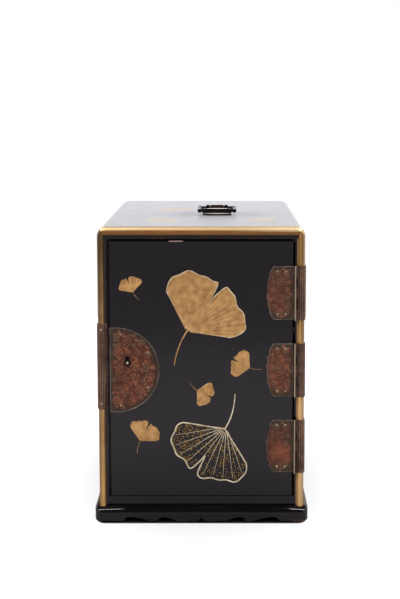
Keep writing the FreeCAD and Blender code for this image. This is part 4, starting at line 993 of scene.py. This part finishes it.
# The dark base colour is the painted contact shadow under the base; elsewhere it is covered by the paper
# tone.
floor_finish, floor_shader, floor_spot = finish_named(
    "white_paper",
    Base_Color=linear("#2b2a29"),
    Roughness=0.9,
    Specular_IOR_Level=0.0,
    Emission_Color=linear("#ffffff"),
)
floor_tree = floor_finish.node_tree
oval = put(floor_tree, "VectorMath", {0: floor_spot, 1: (1.6, 1, 1)}, operation="MULTIPLY")[0]
from_cabinet = put(floor_tree, "VectorMath", {0: oval}, operation="LENGTH")["Value"]
reach = {"Value": from_cabinet, "From Min": 0.18, "From Max": 0.6}
away = put(floor_tree, "MapRange", reach, interpolation_type="SMOOTHSTEP")[0]
fade = put(floor_tree, "MapRange", {"Value": away, "To Min": 0.58, "To Max": 1.0})[0]
# Painted shade: the paper's tone is darker near the cabinet and lighter further out, sooner to the sides.
paper_with_painted_shade = {0: away, tone_low: linear("#a2a2a2"), tone_high: linear("#cccccc")}
paper_with_painted_shade = put(floor_tree, "Mix", paper_with_painted_shade, data_type="RGBA")[tone_out]
# Painted shadow: right under the base the paper keeps the dark tone and does not glow.
core = (131.5 * mm, 171 * mm, 0)
off_core = put(floor_tree, "VectorMath", {0: floor_spot}, operation="ABSOLUTE")[0]
off_core = put(floor_tree, "VectorMath", {0: off_core, 1: core}, operation="SUBTRACT")[0]
off_core = put(floor_tree, "VectorMath", {0: off_core, 1: (0, 0, 0)}, operation="MAXIMUM")[0]
off_core = put(floor_tree, "VectorMath", {0: off_core}, operation="LENGTH")["Value"]
edge = {"Value": off_core, "From Min": 9.5 * mm, "From Max": 13 * mm}
beside = put(floor_tree, "MapRange", edge, interpolation_type="SMOOTHSTEP")[0]
lay_over(floor_shader, beside, {"Base Color": paper_with_painted_shade})
glow = put(floor_tree, "Math", {0: fade, 1: beside}, operation="MULTIPLY")[0]
seen = put(floor_tree, "LightPath")["Is Camera Ray"]
glow = put(floor_tree, "Math", {0: glow, 1: seen}, operation="MULTIPLY")[0]
feed(floor_shader, {"Emission Strength": glow})
floor_mesh.materials.append(floor_finish)

# The room: a white backdrop behind and to the right of the cabinet, and a dimmer room in front. Two soft
# lamps stand in front and above, and a smaller one on each side. Two slim strips light the base's edge.
room = bpy.data.worlds.new("studio_room")
bpy.context.scene.world = room
room.use_nodes = True
room_tree = room.node_tree
heading = put(room_tree, "TexCoord")["Generated"]
backdrop = {0: heading, 1: (0.6, 0.8, 0.0)}
backdrop = put(room_tree, "VectorMath", backdrop, operation="DOT_PRODUCT")["Value"]
backdrop = {"Value": backdrop, "From Min": -0.35, "From Max": 0.35}
backdrop = put(room_tree, "MapRange", backdrop, interpolation_type="SMOOTHSTEP")[0]
upwards = put(room_tree, "SeparateXYZ", {"Vector": heading})["Z"]
dim = {"Value": upwards, "From Max": 0.12, "To Min": 0.42, "To Max": 0.06}
dim = put(room_tree, "MapRange", dim)[0]
shine = {0: backdrop, value_low: dim, value_high: 1.0}
shine = put(room_tree, "Mix", shine, data_type="FLOAT")[value_out]
ceiling = {"Value": upwards, "From Min": 0.5, "From Max": 0.9, "To Min": 1.0, "To Max": 0.12}
ceiling = put(room_tree, "MapRange", ceiling)[0]
shine = put(room_tree, "Math", {0: shine, 1: ceiling}, operation="MULTIPLY")[0]
rays_seen = put(room_tree, "LightPath")
mirrored = {0: rays_seen["Is Glossy Ray"], 1: rays_seen["Is Transmission Ray"]}
mirrored = put(room_tree, "Math", mirrored, operation="MAXIMUM")[0]
lighting = put(room_tree, "MapRange", {"Value": mirrored, "To Min": 0.75, "To Max": 1.0})[0]
lit = put(room_tree, "Math", {0: shine, 1: lighting}, operation="MULTIPLY")[0]
strength = put(room_tree, "Math", {0: lit, 1: rays_seen["Is Camera Ray"]}, operation="MAXIMUM")[0]
feed(room_tree.nodes["Background"], {"Color": linear("#ffffff"), "Strength": strength})
for label, place, aim, size, watts in (
    ("key_lamp", (-1.1, -1.25, 1.5), (0, 0, 0.2), (1.3, 1.3), 24),
    ("fill_lamp", (1.1, -1.0, 1.3), (0, 0, 0.2), (1.2, 1.2), 15.5),
    ("left_lamp", (-1.2, 0.2, 0.9), (0, 0, 0.1), (1.0, 1.0), 12),
    ("right_lamp", (1.2, 0.2, 0.9), (0, 0, 0.1), (1.0, 1.0), 12),
    ("left_strip", (-0.36, -1.3, 1.66), (-0.13, -0.18, 0.02), (0.02, 0.8), 1.2),
    ("right_strip", (0.3, -1.3, 1.66), (0.13, -0.18, 0.02), (0.02, 0.8), 1.4),
):
    lamp = bpy.data.lights.new(label, "AREA")
    lamp.shape = "RECTANGLE"
    lamp.size, lamp.size_y = size
    lamp.energy = watts
    holder = bpy.data.objects.new(label, lamp)
    holder.location = place
    holder.rotation_euler = (Vector(aim) - Vector(place)).to_track_quat("-Z", "Y").to_euler()
    bpy.context.scene.collection.objects.link(holder)

# The camera: it stands in front of the cabinet, a little above the top, and looks slightly down. Its lens is
# shifted down as well, so that the cabinet's sides stay nearly upright.
camera_tilt = 5.4
camera = bpy.data.cameras.new("camera")
camera.lens, camera.sensor_width = 61.44, 36
camera.shift_x, camera.shift_y = -0.0342, -0.1701
viewer = bpy.data.objects.new("camera", camera)
viewer.location = (26.1 * mm, -1532.5 * mm, 575.1 * mm)
viewer.rotation_euler = (math.radians(90 - camera_tilt), 0, 0)
bpy.context.scene.collection.objects.link(viewer)
bpy.context.scene.camera = viewer
bpy.context.scene.view_settings.view_transform = "Standard"
